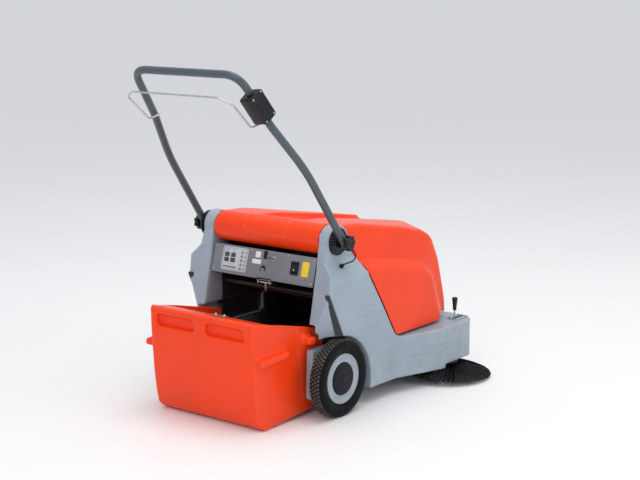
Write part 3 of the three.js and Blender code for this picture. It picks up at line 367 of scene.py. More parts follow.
def polar(radius, angle, height=0.0):
    return Vector((radius * math.cos(angle), radius * math.sin(angle), height))


def bridge(bm, near, far):
    """A band of faces between two closed rings of vertices."""
    for k in range(len(near)):
        n = (k + 1) % len(near)
        bm.faces.new((near[k], near[n], far[n], far[k]))


def add_loft(bm, rings):
    """A skin through closed rings of vertices, shut at both ends."""
    for near, far in zip(rings, rings[1:]):
        bridge(bm, near, far)
    bm.faces.new(list(reversed(rings[0])))
    bm.faces.new(rings[-1])


def add_turned(bm, profile, sides, basis=Matrix.Identity(4)):
    """A closed profile of (radius, height) turned about the local z axis."""
    turns = [math.tau * i / sides for i in range(sides)]
    rings = [[bm.verts.new(basis @ polar(r, turn, h)) for r, h in profile] for turn in turns]
    on_axis = [r < 1e-6 for r, _ in profile]
    for i, near in enumerate(rings):
        far = rings[(i + 1) % sides]
        for k in range(len(profile)):
            n = (k + 1) % len(profile)
            if not (on_axis[k] and on_axis[n]):
                bm.faces.new([near[k], far[k], far[n], near[n]])
    bmesh.ops.remove_doubles(bm, verts=[v for ring in rings for v in ring], dist=1e-4)


def turned_piece(name, profile, sides, finish, body="chassis", replaces=(), crease=34, basis=None):
    bm = bmesh.new()
    add_turned(bm, profile, sides)
    return finish_piece(name, bm, finish, body, replaces, crease, basis)


def corner_curve(start, corner, end, steps):
    """Points along a bend that leaves start and meets end as if it went by the corner."""
    shares = [k / steps for k in range(steps + 1)]
    return [start * (1 - t) ** 2 + corner * 2 * t * (1 - t) + end * t * t for t in shares]


def rectangle(x0, x1, y0, y1, radius=0.0, steps=4):
    """The outline of a rectangle, with its corners rounded over a radius."""
    corners = [Vector(p) for p in ((x0, y0), (x1, y0), (x1, y1), (x0, y1))]
    if not radius:
        return corners
    outline = []
    for i, here in enumerate(corners):
        back = (corners[i - 1] - here).normalized() * radius
        ahead = (corners[(i + 1) % len(corners)] - here).normalized() * radius
        outline += corner_curve(here + back, here, here + ahead, steps)
    return outline


def circle(x, y, radius, count):
    return [polar(radius, math.tau * i / count).xy + Vector((x, y)) for i in range(count)]


def add_prism(bm, outline, low, high, bevel=0.0, segments=2, basis=None):
    """An outline in local x and y, standing from z = low to z = high, with its edges rounded."""
    before = set(bm.verts)
    base = [bm.verts.new((x, y, low)) for x, y in outline]
    extruded = bmesh.ops.extrude_face_region(bm, geom=[bm.faces.new(base)])
    top = [v for v in extruded["geom"] if isinstance(v, bmesh.types.BMVert)]
    bmesh.ops.translate(bm, vec=(0, 0, high - low), verts=top)
    if bevel:
        ends = [e for v in base + top for e in v.link_edges
                if abs(e.verts[0].co.z - e.verts[1].co.z) < 1e-6]
        bmesh.ops.bevel(bm, geom=list(set(ends)), offset=bevel, segments=segments, profile=0.5,
                        affect="EDGES", clamp_overlap=True)
    if basis is not None:
        bmesh.ops.transform(bm, matrix=basis, verts=[v for v in bm.verts if v not in before])


def add_frame(bm, outline, width, low, high):
    """A thin raised line that follows a closed outline just inside it."""
    outer = [Vector(p) for p in outline]
    middle = sum(outer, Vector((0, 0))) / len(outer)
    inner = [p + (middle - p).normalized() * width for p in outer]
    edges = ((outer, low), (outer, high), (inner, high), (inner, low))
    rings = [[bm.verts.new((*p, height)) for p in line] for line, height in edges]
    for near, far in zip(rings, rings[1:] + rings[:1]):
        bridge(bm, near, far)


def ring_of(point, heading, side, reach, sides):
    """Points in a circle around a point, square to a heading."""
    other = heading.cross(side)
    turns = [math.tau * k / sides for k in range(sides)]
    return [point + (side * math.cos(turn) + other * math.sin(turn)) * reach for turn in turns]


def add_tube(bm, route, radius, sides):
    """A round tube along a route."""
    points = [Vector(p) for p in route]
    heading = (points[1] - points[0]).normalized()
    side = heading.orthogonal().normalized()
    rings = []
    for i, point in enumerate(points):
        ahead = (points[min(i + 1, len(points) - 1)] - points[max(i - 1, 0)]).normalized()
        side = heading.rotation_difference(ahead) @ side
        heading = ahead
        rings.append([bm.verts.new(p) for p in ring_of(point, heading, side, radius, sides)])
    add_loft(bm, rings)


def bent_route(corners, reaches, steps):
    """Straight runs with each inner corner rounded over a reach."""
    points = [Vector(c) for c in corners]
    route = [points[0]]
    for i, reach in enumerate(reaches, start=1):
        back = (points[i - 1] - points[i]).normalized() * reach
        ahead = (points[i + 1] - points[i]).normalized() * reach
        route += corner_curve(points[i] + back, points[i], points[i] + ahead, steps)
    return route + [points[-1]]


def add_screw(bm, place, out, radius, rise=None):
    """A pan-head screw with a cross recess."""
    rise = rise or radius * 0.55
    basis = basis_at(place, out)
    add_turned(bm, [(0, -0.3), (radius, -0.3), (radius, rise * 0.35), (radius * 0.86, rise * 0.75),
                    (radius * 0.55, rise), (0, rise * 1.04)], 20, basis)
    arm = rectangle(-radius * 0.55, radius * 0.55, -radius * 0.12, radius * 0.12)
    for angle in (0, math.pi / 2):
        add_prism(bm, arm, rise * 0.9, rise * 1.12, basis=basis @ Matrix.Rotation(angle, 4, "Z"))


def screw_set(name, places, radius, rise=None, finish="steel", body="chassis", out=UP, basis=None):
    bm = bmesh.new()
    for place in places:
        add_screw(bm, place, out, radius, rise)
    finish_piece(name, bm, finish, body, basis=basis)


def grid(xs, ys, z):
    return [(x, y, z) for x in xs for y in ys]


# ---- Moulded shells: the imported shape, remeshed and with its corners softened ----

BODIES = frame["record"]["behaviour"]["bodies"]
BODY_OF = {node: body for body, nodes in BODIES.items() for node in nodes}
VOXEL = 0.003
THIN = 0.0078
# How far a crease holds its surroundings back from smoothing, and how far its lighter edge shows, in metres;
# that edge is partly wear and partly a painted highlight.
RIM = {"reach": 0.010, "gain": 2.2, "freedom": 0.03, "wear_and_highlight_reach": 0.006}
CORNER = {"reach": 0.013, "gain": 1.6, "wear_and_highlight_reach": 0.009}
SMOOTHING_STEP = 0.6
FACES_KEPT = 0.3


def cad_copy(node):
    """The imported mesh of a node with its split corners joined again."""
    bm = bmesh.new()
    bm.from_mesh(frame["nodes"][node].data)
    bmesh.ops.remove_doubles(bm, verts=bm.verts, dist=1e-5)
    return bm


def evaluated(mesh, kind, **settings):
    """A mesh after one modifier."""
    holder = linked("holder", mesh)
    modifier = holder.modifiers.new(kind, kind)
    for name, value in settings.items():
        setattr(modifier, name, value)
    graph = bpy.context.evaluated_depsgraph_get()
    result = bpy.data.meshes.new_from_object(holder.evaluated_get(graph))
    bpy.data.objects.remove(holder)
    return result


def edge_samples(bm, sharp, spacing=0.003):
    """Points along the outward creases of a mesh, each with the crease's direction."""
    places = []
    for edge in bm.edges:
        if len(edge.link_faces) != 2 or not edge.is_convex or edge.calc_face_angle(0) < math.radians(sharp):
            continue
        a, b = edge.verts[0].co, edge.verts[1].co
        count = max(2, int((b - a).length / spacing))
        heading = (b - a).normalized()
        places += [(a.lerp(b, i / count), heading) for i in range(count + 1)]
    return places


def tree_of(points):
    if not points:
        return None
    tree = kdtree.KDTree(len(points))
    for i, point in enumerate(points):
        tree.insert(point, i)
    tree.balance()
    return tree


def beside(step, heading, other_heading):
    """Whether a step leads sideways from one crease to another that runs the same way."""
    return (step - heading * step.dot(heading)).length > 0.002 and abs(other_heading.dot(heading)) > 0.8


def rims_and_corners(bm, sharp):
    """Splits the outward creases into rims, which run beside another on a thin wall, and corners."""
    samples = edge_samples(bm, sharp)
    tree = tree_of([place for place, _ in samples])
    rims = []
    corners = []
    for place, heading in samples:
        thin = any(beside(other - place, heading, samples[index][1])
                   for other, index, _ in tree.find_range(place, THIN))
        (rims if thin else corners).append(place)
    return tree_of(rims), tree_of(corners)


def nearness(points, tree, reach):
    """1 on a crease, falling to 0 at a distance from it."""
    if tree is None:
        return np.zeros(len(points))
    near = np.array([tree.find(point)[2] for point in points])
    return np.clip(1 - near / reach, 0, 1)


def softened(node, finish, passes=40, corner=0.35, sharp=24):
    """A moulded part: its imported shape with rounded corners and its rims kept."""
    bm = cad_copy(node)
    rims, corners = rims_and_corners(bm, sharp)
    mesh = evaluated(plain_mesh(f"{node}_cad", bm), "REMESH", mode="VOXEL", voxel_size=VOXEL)
    count = len(mesh.vertices)
    place = np.empty(count * 3)
    mesh.vertices.foreach_get("co", place)
    place = place.reshape(-1, 3)
    edges = np.empty(len(mesh.edges) * 2, dtype=np.int64)
    mesh.edges.foreach_get("vertices", edges)
    first, second = edges.reshape(-1, 2).T
    at_rim = np.minimum(nearness(place, rims, RIM["reach"]) * RIM["gain"], 1)
    at_corner = np.minimum(nearness(place, corners, CORNER["reach"]) * CORNER["gain"], 1)
    freedom = np.minimum(1 - (1 - corner) * at_corner, 1 - (1 - RIM["freedom"]) * at_rim) * SMOOTHING_STEP
    links = np.maximum(np.bincount(first, minlength=count) + np.bincount(second, minlength=count), 1)
    for _ in range(passes):
        for axis in range(3):
            line = place[:, axis]
            total = (np.bincount(first, weights=line[second], minlength=count)
                     + np.bincount(second, weights=line[first], minlength=count))
            place[:, axis] = line + freedom * (total / links - line)
    mesh.vertices.foreach_set("co", place.ravel())
    mesh.update()
    mesh = evaluated(mesh, "DECIMATE", ratio=FACES_KEPT)
    mesh.name = node + "_shell"
    place = [vertex.co.copy() for vertex in mesh.vertices]
    # The share of lighter edge colour near each crease: wear, and a painted highlight where light catches the
    # edge.
    edge_wear_and_highlight = np.maximum(nearness(place, rims, RIM["wear_and_highlight_reach"]), nearness(place, corners, CORNER["wear_and_highlight_reach"]))
    mesh.attributes.new("edge", "FLOAT", "POINT").data.foreach_set("value", edge_wear_and_highlight.astype(np.float32))
    mesh.materials.clear()
    smooth_by_angle(mesh, 60)
    return link_piece(node + "_shell", mesh, finish, BODY_OF[node], [node])


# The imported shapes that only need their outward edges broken: finish, bevel in mm, steps, nodes.
HARD_PARTS = (
    ("steel", 0.8, 2, ("stub_axle_right", "stub_axle_left", "clamp_bolt_right", "clamp_bolt_left",
                       "hood_pin_right", "hood_pin_left", "caster_plate", "motor_pulley")),
    ("steel", 0.9, 2, ("caster_fork",)),
    ("steel", 0.6, 2, ("latch_bracket", "hopper_latch")),
    ("steel", 0.5, 2, ("fan_impeller",)),
    ("steel", 0.4, 2, ("hopper_catch_plate",)),
    ("console", 0.9, 3, ("console_plate",)),
    ("knob", 0.8, 3, ("rocker_switch",)),
    ("black", 0.7, 3, ("rocker_frame",)),
    ("black", 0.5, 2, ("damper_lever", "belt_cover")),
    ("black", 0.8, 2, ("filter_shaker_bar",)),
    ("black", 1.2, 3, ("side_brush_arm", "fan_housing")),
    ("dark_steel", 1.0, 2, ("main_brush_core",)),
    ("dark_steel", 0.7, 2, ("chassis_pan",)),
    ("dark_steel", 0.6, 2, ("brush_tunnel",)),
    ("dark_steel", 1.4, 3, ("brush_motor",)),
    ("grey", 0.6, 2, ("lever_guide",)),
    ("battery", 1.6, 3, ("battery_right", "battery_left")),
    ("rubber", 0.7, 2, ("front_skirt",)),
    ("rubber", 0.6, 2, ("brush_belt",)),
    ("filter", 0.8, 2, ("filter_cassette",)),
)


def hard_parts():
    for finish, bevel, steps, nodes in HARD_PARTS:
        for node in nodes:
            bm = cad_copy(node)
            bmesh.ops.dissolve_limit(bm, angle_limit=math.radians(1), verts=bm.verts, edges=bm.edges)
            name = node + "_fine"
            mesh = evaluated(plain_mesh(name, bm), "BEVEL", width=bevel * MM, segments=steps,
                             limit_method="ANGLE", angle_limit=math.radians(28), use_clamp_overlap=True,
                             miter_outer="MITER_ARC")
            mesh.materials.clear()
            mesh.name = name
            smooth_by_angle(mesh, 32)
            link_piece(name, mesh, finish, BODY_OF[node], [node])


# ---- Rear wheels ----

TREAD = {"pitches": 60, "rows": 4, "from": 274, "to": 312, "groove": 2.2, "depth": 3.0}


def wheel_basis(sign, y, z):
    """Local z runs outwards along the axle."""
    return basis_at((0, y, z), (sign, 0, 0), (0, 1, 0))


def tyre(name, sign):
    bm = bmesh.new()
    base = WHEEL["radius"] - TREAD["depth"]
    inner, outer = WHEEL["inner"], WHEEL["outer"]
    profile = [(WHEEL["rim"] + 0.5, inner + 8), (90, inner + 3), (100, inner + 1), (108, inner + 0.5),
               (109, inner + 1.2), (110, inner + 0.5), (116, inner + 2.5), (base, TREAD["from"] - 1)]
    facing = [(r, outer + inner - h) for r, h in reversed(profile)]
    add_turned(bm, profile + facing, 120)
    add_tread(bm, base)
    dusty = bm.verts.layers.float.new("tread_dust")
    for vert in bm.verts:
        vert[dusty] = min(max((vert.co.xy.length - base - 1) / (TREAD["depth"] - 1.5), 0), 1)
    finish_piece(f"tyre_{name}_tread", bm, "tyre", f"wheel_{name}", [f"tyre_{name}"], 34,
                 wheel_basis(sign, 0, WHEEL["radius"]))


def add_tread(bm, base):
    width = (TREAD["to"] - TREAD["from"]) / TREAD["rows"]
    step = math.tau / TREAD["pitches"]
    for row in range(TREAD["rows"]):
        low = TREAD["from"] + row * width + TREAD["groove"] / 2 * (row > 0)
        high = TREAD["from"] + (row + 1) * width - TREAD["groove"] / 2 * (row < TREAD["rows"] - 1)
        for pitch in range(TREAD["pitches"]):
            middle = (pitch + 0.5 * (row % 2)) * step
            add_tread_block(bm, middle, step * 0.34, low, high, base)


def add_tread_block(bm, middle, half, low, high, base):
    """A block that starts just below the tyre's skin and has its upper edge broken."""
    rings = []
    for radius, shrink in ((base - 1, 0.0), (WHEEL["radius"] - 0.9, 0.1), (WHEEL["radius"] - 0.1, 0.9)):
        turn = half - shrink / radius
        angles = (middle - turn, middle, middle + turn)
        places = [(angle, low + shrink) for angle in angles]
        places += [(angle, high - shrink) for angle in reversed(angles)]
        rings.append([bm.verts.new(polar(radius, angle, height)) for angle, height in places])
    for near, far in zip(rings, rings[1:]):
        bridge(bm, near, far)
    top = rings[-1]
    bm.faces.new((top[0], top[1], top[4], top[5]))
    bm.faces.new((top[1], top[2], top[3], top[4]))


def rim_and_cap(name, sign):
    """Both profiles count their heights from the middle of the tyre."""
    middle = (WHEEL["inner"] + WHEEL["outer"]) / 2
    basis = wheel_basis(sign, 0, WHEEL["radius"]) @ Matrix.Translation((0, 0, middle))
    rim, cap = WHEEL["rim"], WHEEL["cap"]
    turned_piece(f"wheel_rim_{name}_turned", [
        (11, -19.5), (33, -19.5), (34, -18.5), (34, -7), (36, -6), (65, -6), (69.5, -18), (rim - 1, -18.6),
        (rim, -17.6), (rim, 19.6), (rim - 0.8, 20.8), (rim - 2.6, 21.4), (rim - 4.6, 20.9), (rim - 5.6, 19.2),
        (rim - 7.5, 18.2), (62, 17.0), (58, 17.2), (56, 18.4), (54, 18.2), (cap + 1, 16.4), (cap + 0.6, 12.4),
        (11, 12.2)], 96, "rim", f"wheel_{name}", [f"wheel_rim_{name}"], 30, basis)
    turned_piece(f"hub_cap_{name}_turned", [
        (0, 16.6), (cap - 5.2, 16.6), (cap - 4.8, 12.8), (cap - 0.8, 12.7), (cap, 13.5), (cap, 20.6),
        (cap - 1.2, 22.2), (cap - 3.5, 22.8), (44.2, 22.9), (43.6, 22.0), (42.6, 22.0), (42.0, 23.2),
        (34.5, 23.9), (33.9, 22.9), (32.9, 22.9), (32.3, 24.2), (19.5, 24.8), (18.9, 23.9), (17.9, 23.9),
        (17.3, 25.1), (6, 26.4), (0, 26.6)], 80, "cap", f"wheel_{name}", [f"hub_cap_{name}"], 28, basis)


def rear_wheels():
    for name, sign in BOTH_SIDES:
        tyre(name, sign)
        rim_and_cap(name, sign)


# ---- Console: plate, display, labels and switches ----

LEAN = math.radians(CONSOLE["lean"])
CONSOLE_BASIS = basis_at(CONSOLE["centre"], (0, -math.cos(LEAN), math.sin(LEAN)))
DISPLAY = {"left": -176, "right": -67, "foot": -37, "top": 42}
LAMPS = {"x": -92, "mark": -81, "foot": -27, "pitch": 13.5, "count": 5}
PULL = (43, 23, 0)
PLATES = (
    ("label_upper", -36, -14, 478, 497, 1.5, 0.4, "label", 0.1),
    ("label_lower", -46, -9, 458, 472, 1.5, 0.4, "label", 0.1),
    ("service_plate", 162, 190, 441, 487, 2, 0.6, "yellow", 0.2),
)


def on_console(z):
    """Height above the console's middle, measured along the leaning plate."""
    return (z - CONSOLE["centre"].z) / math.cos(LEAN)


def console_piece(name, outline, low, high, finish, bevel=0.0, body="chassis", replaces=()):
    bm = bmesh.new()
    add_prism(bm, outline, low, high, bevel)
    finish_piece(name, bm, finish, body, replaces, 40, CONSOLE_BASIS)


def display():
    """A raised film with a printed frame, four key tops, a row of lamps and a screw in each corner."""
    x0, x1, y0, y1 = DISPLAY.values()
    console_piece("display_film", rectangle(x0, x1, y0, y1, 6), 0.3, 1.3, "film", 0.3,
                  replaces=["display_panel"])
    bm = bmesh.new()
    add_frame(bm, rectangle(x0 + 4, x1 - 4, y0 + 4, y1 - 4, 4), 1.1, 1.3, 1.5)
    for x in (-166, -139):
        for y in (8, -9):
            add_prism(bm, rectangle(x, x + 20, y, y + 14.5, 1.5), 1.3, 1.75, 0.2)
        add_frame(bm, circle(x + 10, 31, 5.2, 28), 0.8, 1.2, 1.55)
    add_prism(bm, rectangle(-166, -112, -27, -23.5, 1), 1.3, 1.6)
    finish_piece("display_print", bm, "print", "chassis", (), 40, CONSOLE_BASIS)
    bm = bmesh.new()
    for i in range(LAMPS["count"]):
        y = LAMPS["foot"] + i * LAMPS["pitch"]
        add_frame(bm, circle(LAMPS["x"], y, 4.6, 28), 0.8, 1.2, 1.7)
        add_prism(bm, circle(LAMPS["x"], y, 2.0, 20), 1.3, 2.0, 0.3)
        add_prism(bm, rectangle(LAMPS["mark"], LAMPS["mark"] + 6, y - 1.5, y + 1.5, 0.6), 1.3, 1.7)
    finish_piece("display_lamps", bm, "knob", "chassis", (), 40, CONSOLE_BASIS)
    screw_set("display_screws", grid((x0 + 5, x1 - 5), (y0 + 5, y1 - 5), 1.3), 2.6, 1.4, basis=CONSOLE_BASIS)


def console():
    display()
    for name, x0, x1, z0, z1, radius, top, finish, bevel in PLATES:
        outline = rectangle(x0, x1, on_console(z0), on_console(z1), radius)
        console_piece(name, outline, 0.05, top, finish, bevel)
    console_piece("rocker_mark", rectangle(132.4, 134.6, -5.6, 1.2), 4.9, 5.6, "label", body="rocker")
    screw_set("console_screws", grid((-207, 207), (38, -38), 0.1)
              + [(-1, on_console(441), 0.1), (-56, 40, 0.1), (100, 40, 0.1)], 3.4, basis=CONSOLE_BASIS)
    turned_piece("damper_tip", [
        (0, 8.8), (2.5, 8.8), (3.4, 9.6), (3.8, 12), (3.2, 14.6), (1.6, 15.4), (0, 15.5)], 24,
        "knob", "damper", basis=CONSOLE_BASIS @ Matrix.Translation((9, -8.5, 0)))
    shaker_pull()


def shaker_pull():
    """A T-handle on a rod through the console, with a bezel round the hole."""
    basis = CONSOLE_BASIS @ Matrix.Translation(PULL)
    turned_piece("pull_bezel", [(8.6, 0.1), (8.6, 1.6), (7.9, 2.4), (5.2, 2.4), (4.4, 1.8), (4.4, 0.1)], 32,
                 "steel", crease=30, basis=basis)
    bm = bmesh.new()
    add_turned(bm, [(0, -39.5), (2.6, -39.5), (3.2, -38.8), (3.2, 45), (0, 45)], 28)
    add_turned(bm, [(3.2, 34.2), (5.0, 34.2), (5.5, 34.8), (5.5, 40.2), (5.0, 40.8), (3.2, 40.8)], 32)
    finish_piece("shaker_pull_rod", bm, "steel", "pull", ["shaker_pull"], basis=basis)
    turned_piece("shaker_pull_grip", [
        (0, -5.9), (4.6, -5.9), (5.4, -5.2), (5.6, 0), (5.9, 8), (6.6, 16), (6.8, 18.6), (6.2, 20.2),
        (4.6, 20.9), (0, 21)], 36, "knob", "pull",
        basis=basis @ Matrix.Translation((0, 0, 46)) @ Matrix.Rotation(-math.pi / 2, 4, "X"))


# ---- Push handle with its clamps, switch box, bail and cable ----

HANDLE_LEG = [Vector(p) for p in ((295, 37, 542), (285, -152, 804), (237, -262, 949), (214, -375, 1101))]
HANDLE_REACHES = [60, 24, 56, 56, 24, 60]
BAIL_SIDE = [(222.5, -268, 954), (210, -268, 954), (209, -314, 943), (214, -400, 1017), (177, -421, 1037)]
BAIL_REACHES = [5, 12, 12, 14, 14, 12, 12, 5]
DETENT_RIBS = 24
KNOB = {"lobes": 7, "steps": 84, "radius": 23.6, "wave": 2.2}


def across(point):
    return Vector((-point[0], point[1], point[2]))


def bent_wire(name, side, reaches, steps, radius, sides, finish, body, replaces):
    """A tube bent the same way on both sides of the middle plane."""
    bm = bmesh.new()
    corners = list(side) + [across(p) for p in reversed(side)]
    add_tube(bm, bent_route(corners, reaches, steps), radius, sides)
    finish_piece(name, bm, finish, body, replaces, 40)


def handle():
    bent_wire("handle_tube_bent", HANDLE_LEG, HANDLE_REACHES, 16, HANDLE_RADIUS, 48, "slate", "handle",
              ["handle_tube"])
    bent_wire("bail_wire_bent", BAIL_SIDE, BAIL_REACHES, 10, 2.95, 24, "steel", "bail", ["bail_wire"])
    foot = HANDLE_LEG[0]
    foot_out = (foot - HANDLE_LEG[1]).normalized()
    for name, sign in BOTH_SIDES:
        basis = basis_at(foot, foot_out) if sign > 0 else basis_at(across(foot), across(foot_out))
        turned_piece(f"handle_plug_{name}", [
            (3.2, -3), (12.9, -3), (13.3, -2.4), (13.3, 1.2), (12.2, 2.4), (5.4, 2.6), (3.2, 1.6)], 40,
            "black", "handle", basis=basis)
        clamp(name, wheel_basis(sign, **HANDLE_PIVOT))
    switch_box()


def clamp(name, basis):
    """The ribbed detent disc and the star knob at one foot of the handle; the disc's ribs take the lighter
    slate finish as a painted highlight, the glint they catch.
    """
    turned_piece(f"detent_disc_{name}_ribbed", [
        (5.4, 268.6), (43.2, 268.6), (44, 269.4), (44, 275.4), (43.4, 276.4), (42.2, 276.8), (41.2, 276.2),
        (40.4, 274.6), (20.5, 274.6), (19.8, 275.4), (19.2, 280.0), (18.6, 280.6), (5.4, 280.6)], 96,
        "black", "handle", [f"detent_disc_{name}"], 32, basis)
    bm = bmesh.new()
    for i in range(DETENT_RIBS):
        turn = Matrix.Rotation(math.tau * i / DETENT_RIBS, 4, "Z")
        add_prism(bm, rectangle(19.5, 41.4, -1.1, 1.1), 274.0, 277.9, 0.35, 1, turn)
    # The lighter slate finish on the black disc's ribs is a painted highlight: the glint that the ribs catch.
    finish_piece(f"detent_ribs_glint_{name}", bm, "slate", "handle", (), 32, basis)
    star_knob(name, basis)


def star_knob(name, basis):
    outline = []
    for i in range(KNOB["steps"]):
        angle = math.tau * i / KNOB["steps"]
        outline.append(polar(KNOB["radius"] + KNOB["wave"] * math.cos(KNOB["lobes"] * angle), angle).xy)
    levels = [(309.3, 0.90), (310.6, 0.97), (312.5, 1.0), (321.0, 1.0), (323.6, 0.965), (325.0, 0.89),
              (325.8, 0.74), (325.9, 0.5), (325.2, 0.34)]
    bm = bmesh.new()
    add_loft(bm, [[bm.verts.new((*(p * share), level)) for p in outline] for level, share in levels])
    add_turned(bm, [(5.5, 307.8), (13.2, 307.8), (13.8, 308.4), (13.8, 310), (5.5, 310)], 40)
    finish_piece(f"clamp_knob_{name}_star", bm, "knob", f"knob_{name}", [f"clamp_knob_{name}"], 40, basis)


def switch_box():
    """Two halves with a gasket between them, round the handle's right leg."""
    up = (HANDLE_LEG[3] - HANDLE_LEG[2]).normalized()
    middle = HANDLE_LEG[2] + up * 74 + Vector((6, -6.4, -1.75))
    side = (RIGHT - up * up.x).normalized()
    basis = basis_at(middle, side, up.cross(side))
    outline = rectangle(-27, 27, -48, 48, 7, 6)
    bm = bmesh.new()
    add_prism(bm, outline, -24.9, 17.4, 1.6, 3)
    add_prism(bm, outline, 18.2, 24.9, 1.4, 3)
    finish_piece("switch_box_shell", bm, "black", "handle", ["switch_box"], 36, basis)
    bm = bmesh.new()
    add_prism(bm, rectangle(-26, 26, -47, 47, 6.4, 6), 17.2, 18.4)
    finish_piece("switch_box_gasket", bm, "rubber", "handle", (), 36, basis)
    screw_set("switch_box_screws", grid((-20, 20), (-41, 41), 24.6), 3.1, 0.9, body="handle", basis=basis)


GLAND = {"start": Vector((283.6, 26, 480.4)), "out": Vector((0.795, 0, 0.606)).normalized(), "length": 10.4}
CABLE_DIAMETER = 4.4
CABLE_POINTS = [Vector(p) for p in (
    (299.5, 29.5, 491.5), (306, 40, 494.5), (310, 52, 497.5), (311, 62, 505), (309.5, 66, 516.5),
    (305.5, 62, 528), (300.5, 52.5, 534), (295, 42, 536))]


def smooth_route(points, per_span=12):
    """A centripetal Catmull-Rom line through points."""
    padded = [points[0] * 2 - points[1]] + list(points) + [points[-1] * 2 - points[-2]]
    route = []
    for i in range(1, len(padded) - 2):
        p = padded[i - 1:i + 3]
        knots = [0.0]
        for a, b in zip(p, p[1:]):
            knots.append(knots[-1] + (b - a).length ** 0.5)
        for k in range(per_span):
            t = knots[1] + (knots[2] - knots[1]) * k / per_span
            a = [p[j] + (p[j + 1] - p[j]) * ((t - knots[j]) / (knots[j + 1] - knots[j])) for j in range(3)]
            b = [a[j] + (a[j + 1] - a[j]) * ((t - knots[j]) / (knots[j + 2] - knots[j])) for j in range(2)]
            route.append(b[0] + (b[1] - b[0]) * ((t - knots[1]) / (knots[2] - knots[1])))
    route.append(points[-1])
    return route


def handle_cable():
    start = GLAND["start"] + GLAND["out"] * GLAND["length"]
    route = smooth_route([start] + CABLE_POINTS)
    bm = bmesh.new()
    add_tube(bm, route, CABLE_DIAMETER / 2, 20)
    name = "handle_cable_sheath"
    piece = dressed(name, mesh_in_frame(name, bm, 50), "rubber", ["handle_cable"])
    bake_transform(piece)
    bm = bmesh.new()
    add_prism(bm, circle(0, 0, 8.2, 6), 0.2, 4.2, 0.7)
    add_turned(bm, [(2.5, 4.0), (6.4, 4.0), (6.2, 5.4), (5.2, 6.4), (4.9, 9.4), (4.2, 10.2), (2.5, 10.2)], 32)
    finish_piece("cable_gland_hex", bm, "black", "chassis", ["cable_gland"],
                 basis=basis_at(GLAND["start"], GLAND["out"]))


# ---- Brushes, caster and lift lever ----

def strands(name, lines, thickness, body, replaces, basis):
    """Thin three-sided bristles along lines of points, each tapering a little to its tip."""
    verts = []
    faces = []
    placed = Matrix.Translation(MACHINE_ZERO) @ Matrix.Scale(MM, 4) @ basis
    for line in lines:
        heading = (line[-1] - line[0]).normalized()
        side = heading.orthogonal().normalized()
        start = len(verts)
        for i, point in enumerate(line):
            reach = thickness * (1 - 0.35 * i / (len(line) - 1))
            verts += [placed @ p for p in ring_of(point, heading, side, reach, 3)]
        for ring in range(start, len(verts) - 3, 3):
            faces += [(ring + k, ring + (k + 1) % 3, ring + 3 + (k + 1) % 3, ring + 3 + k) for k in range(3)]
        faces += [(start + 2, start + 1, start), tuple(len(verts) - 3 + k for k in range(3))]
    mesh = bpy.data.meshes.new(name)
    mesh.from_pydata([tuple(v) for v in verts], [], faces)
    smooth_by_angle(mesh, 75)
    link_piece(name, mesh, "bristle", body, replaces)


def main_brush():
    """Rows of tufts that meet in a chevron at the middle of the core."""
    chance = random.Random(7)
    left, right = MAIN_BRUSH["left"], MAIN_BRUSH["right"]
    basis = basis_at((0, MAIN_BRUSH["y"], MAIN_BRUSH["z"]), RIGHT, (0, 1, 0))
    lines = []
    for row in range(MAIN_BRUSH["rows"]):
        for tuft in range(MAIN_BRUSH["tufts"]):
            along = left + 4 + (right - left - 8) * tuft / (MAIN_BRUSH["tufts"] - 1)
            twist = math.radians(MAIN_BRUSH["twist"]) * abs(2 * (along - left) / (right - left) - 1)
            for _ in range(MAIN_BRUSH["strands"]):
                angle = math.tau * row / MAIN_BRUSH["rows"] + twist + chance.uniform(-0.03, 0.03)
                lean = chance.uniform(-0.05, 0.05)
                tip = MAIN_BRUSH["radius"] - chance.uniform(0, 3)
                shift = chance.uniform(-2.5, 2.5)
                lines.append([
                    polar(r, angle + lean * share, along + shift * share)
                    for r, share in ((MAIN_BRUSH["core"] - 2, 0.2), (tip * 0.75, 0.6), (tip, 1.0))])
    strands("main_brush_tufts", lines, 0.75, "main_brush", ["main_brush_bristles"], basis)


def top_of_bristles(radius):
    """Height of the side brush's upper bristles above the brush's middle, by distance from its axis."""
    return np.interp(radius, (34, 50, 70, 85, 105, 120, 150, 168), (7, 6, 1.5, -1, -5.5, -9.5, -18, -25))


def foot_of_bristles(radius):
    """Height of the lower bristles, in the same way."""
    return -6 - (radius - 34) * 24.5 / 132


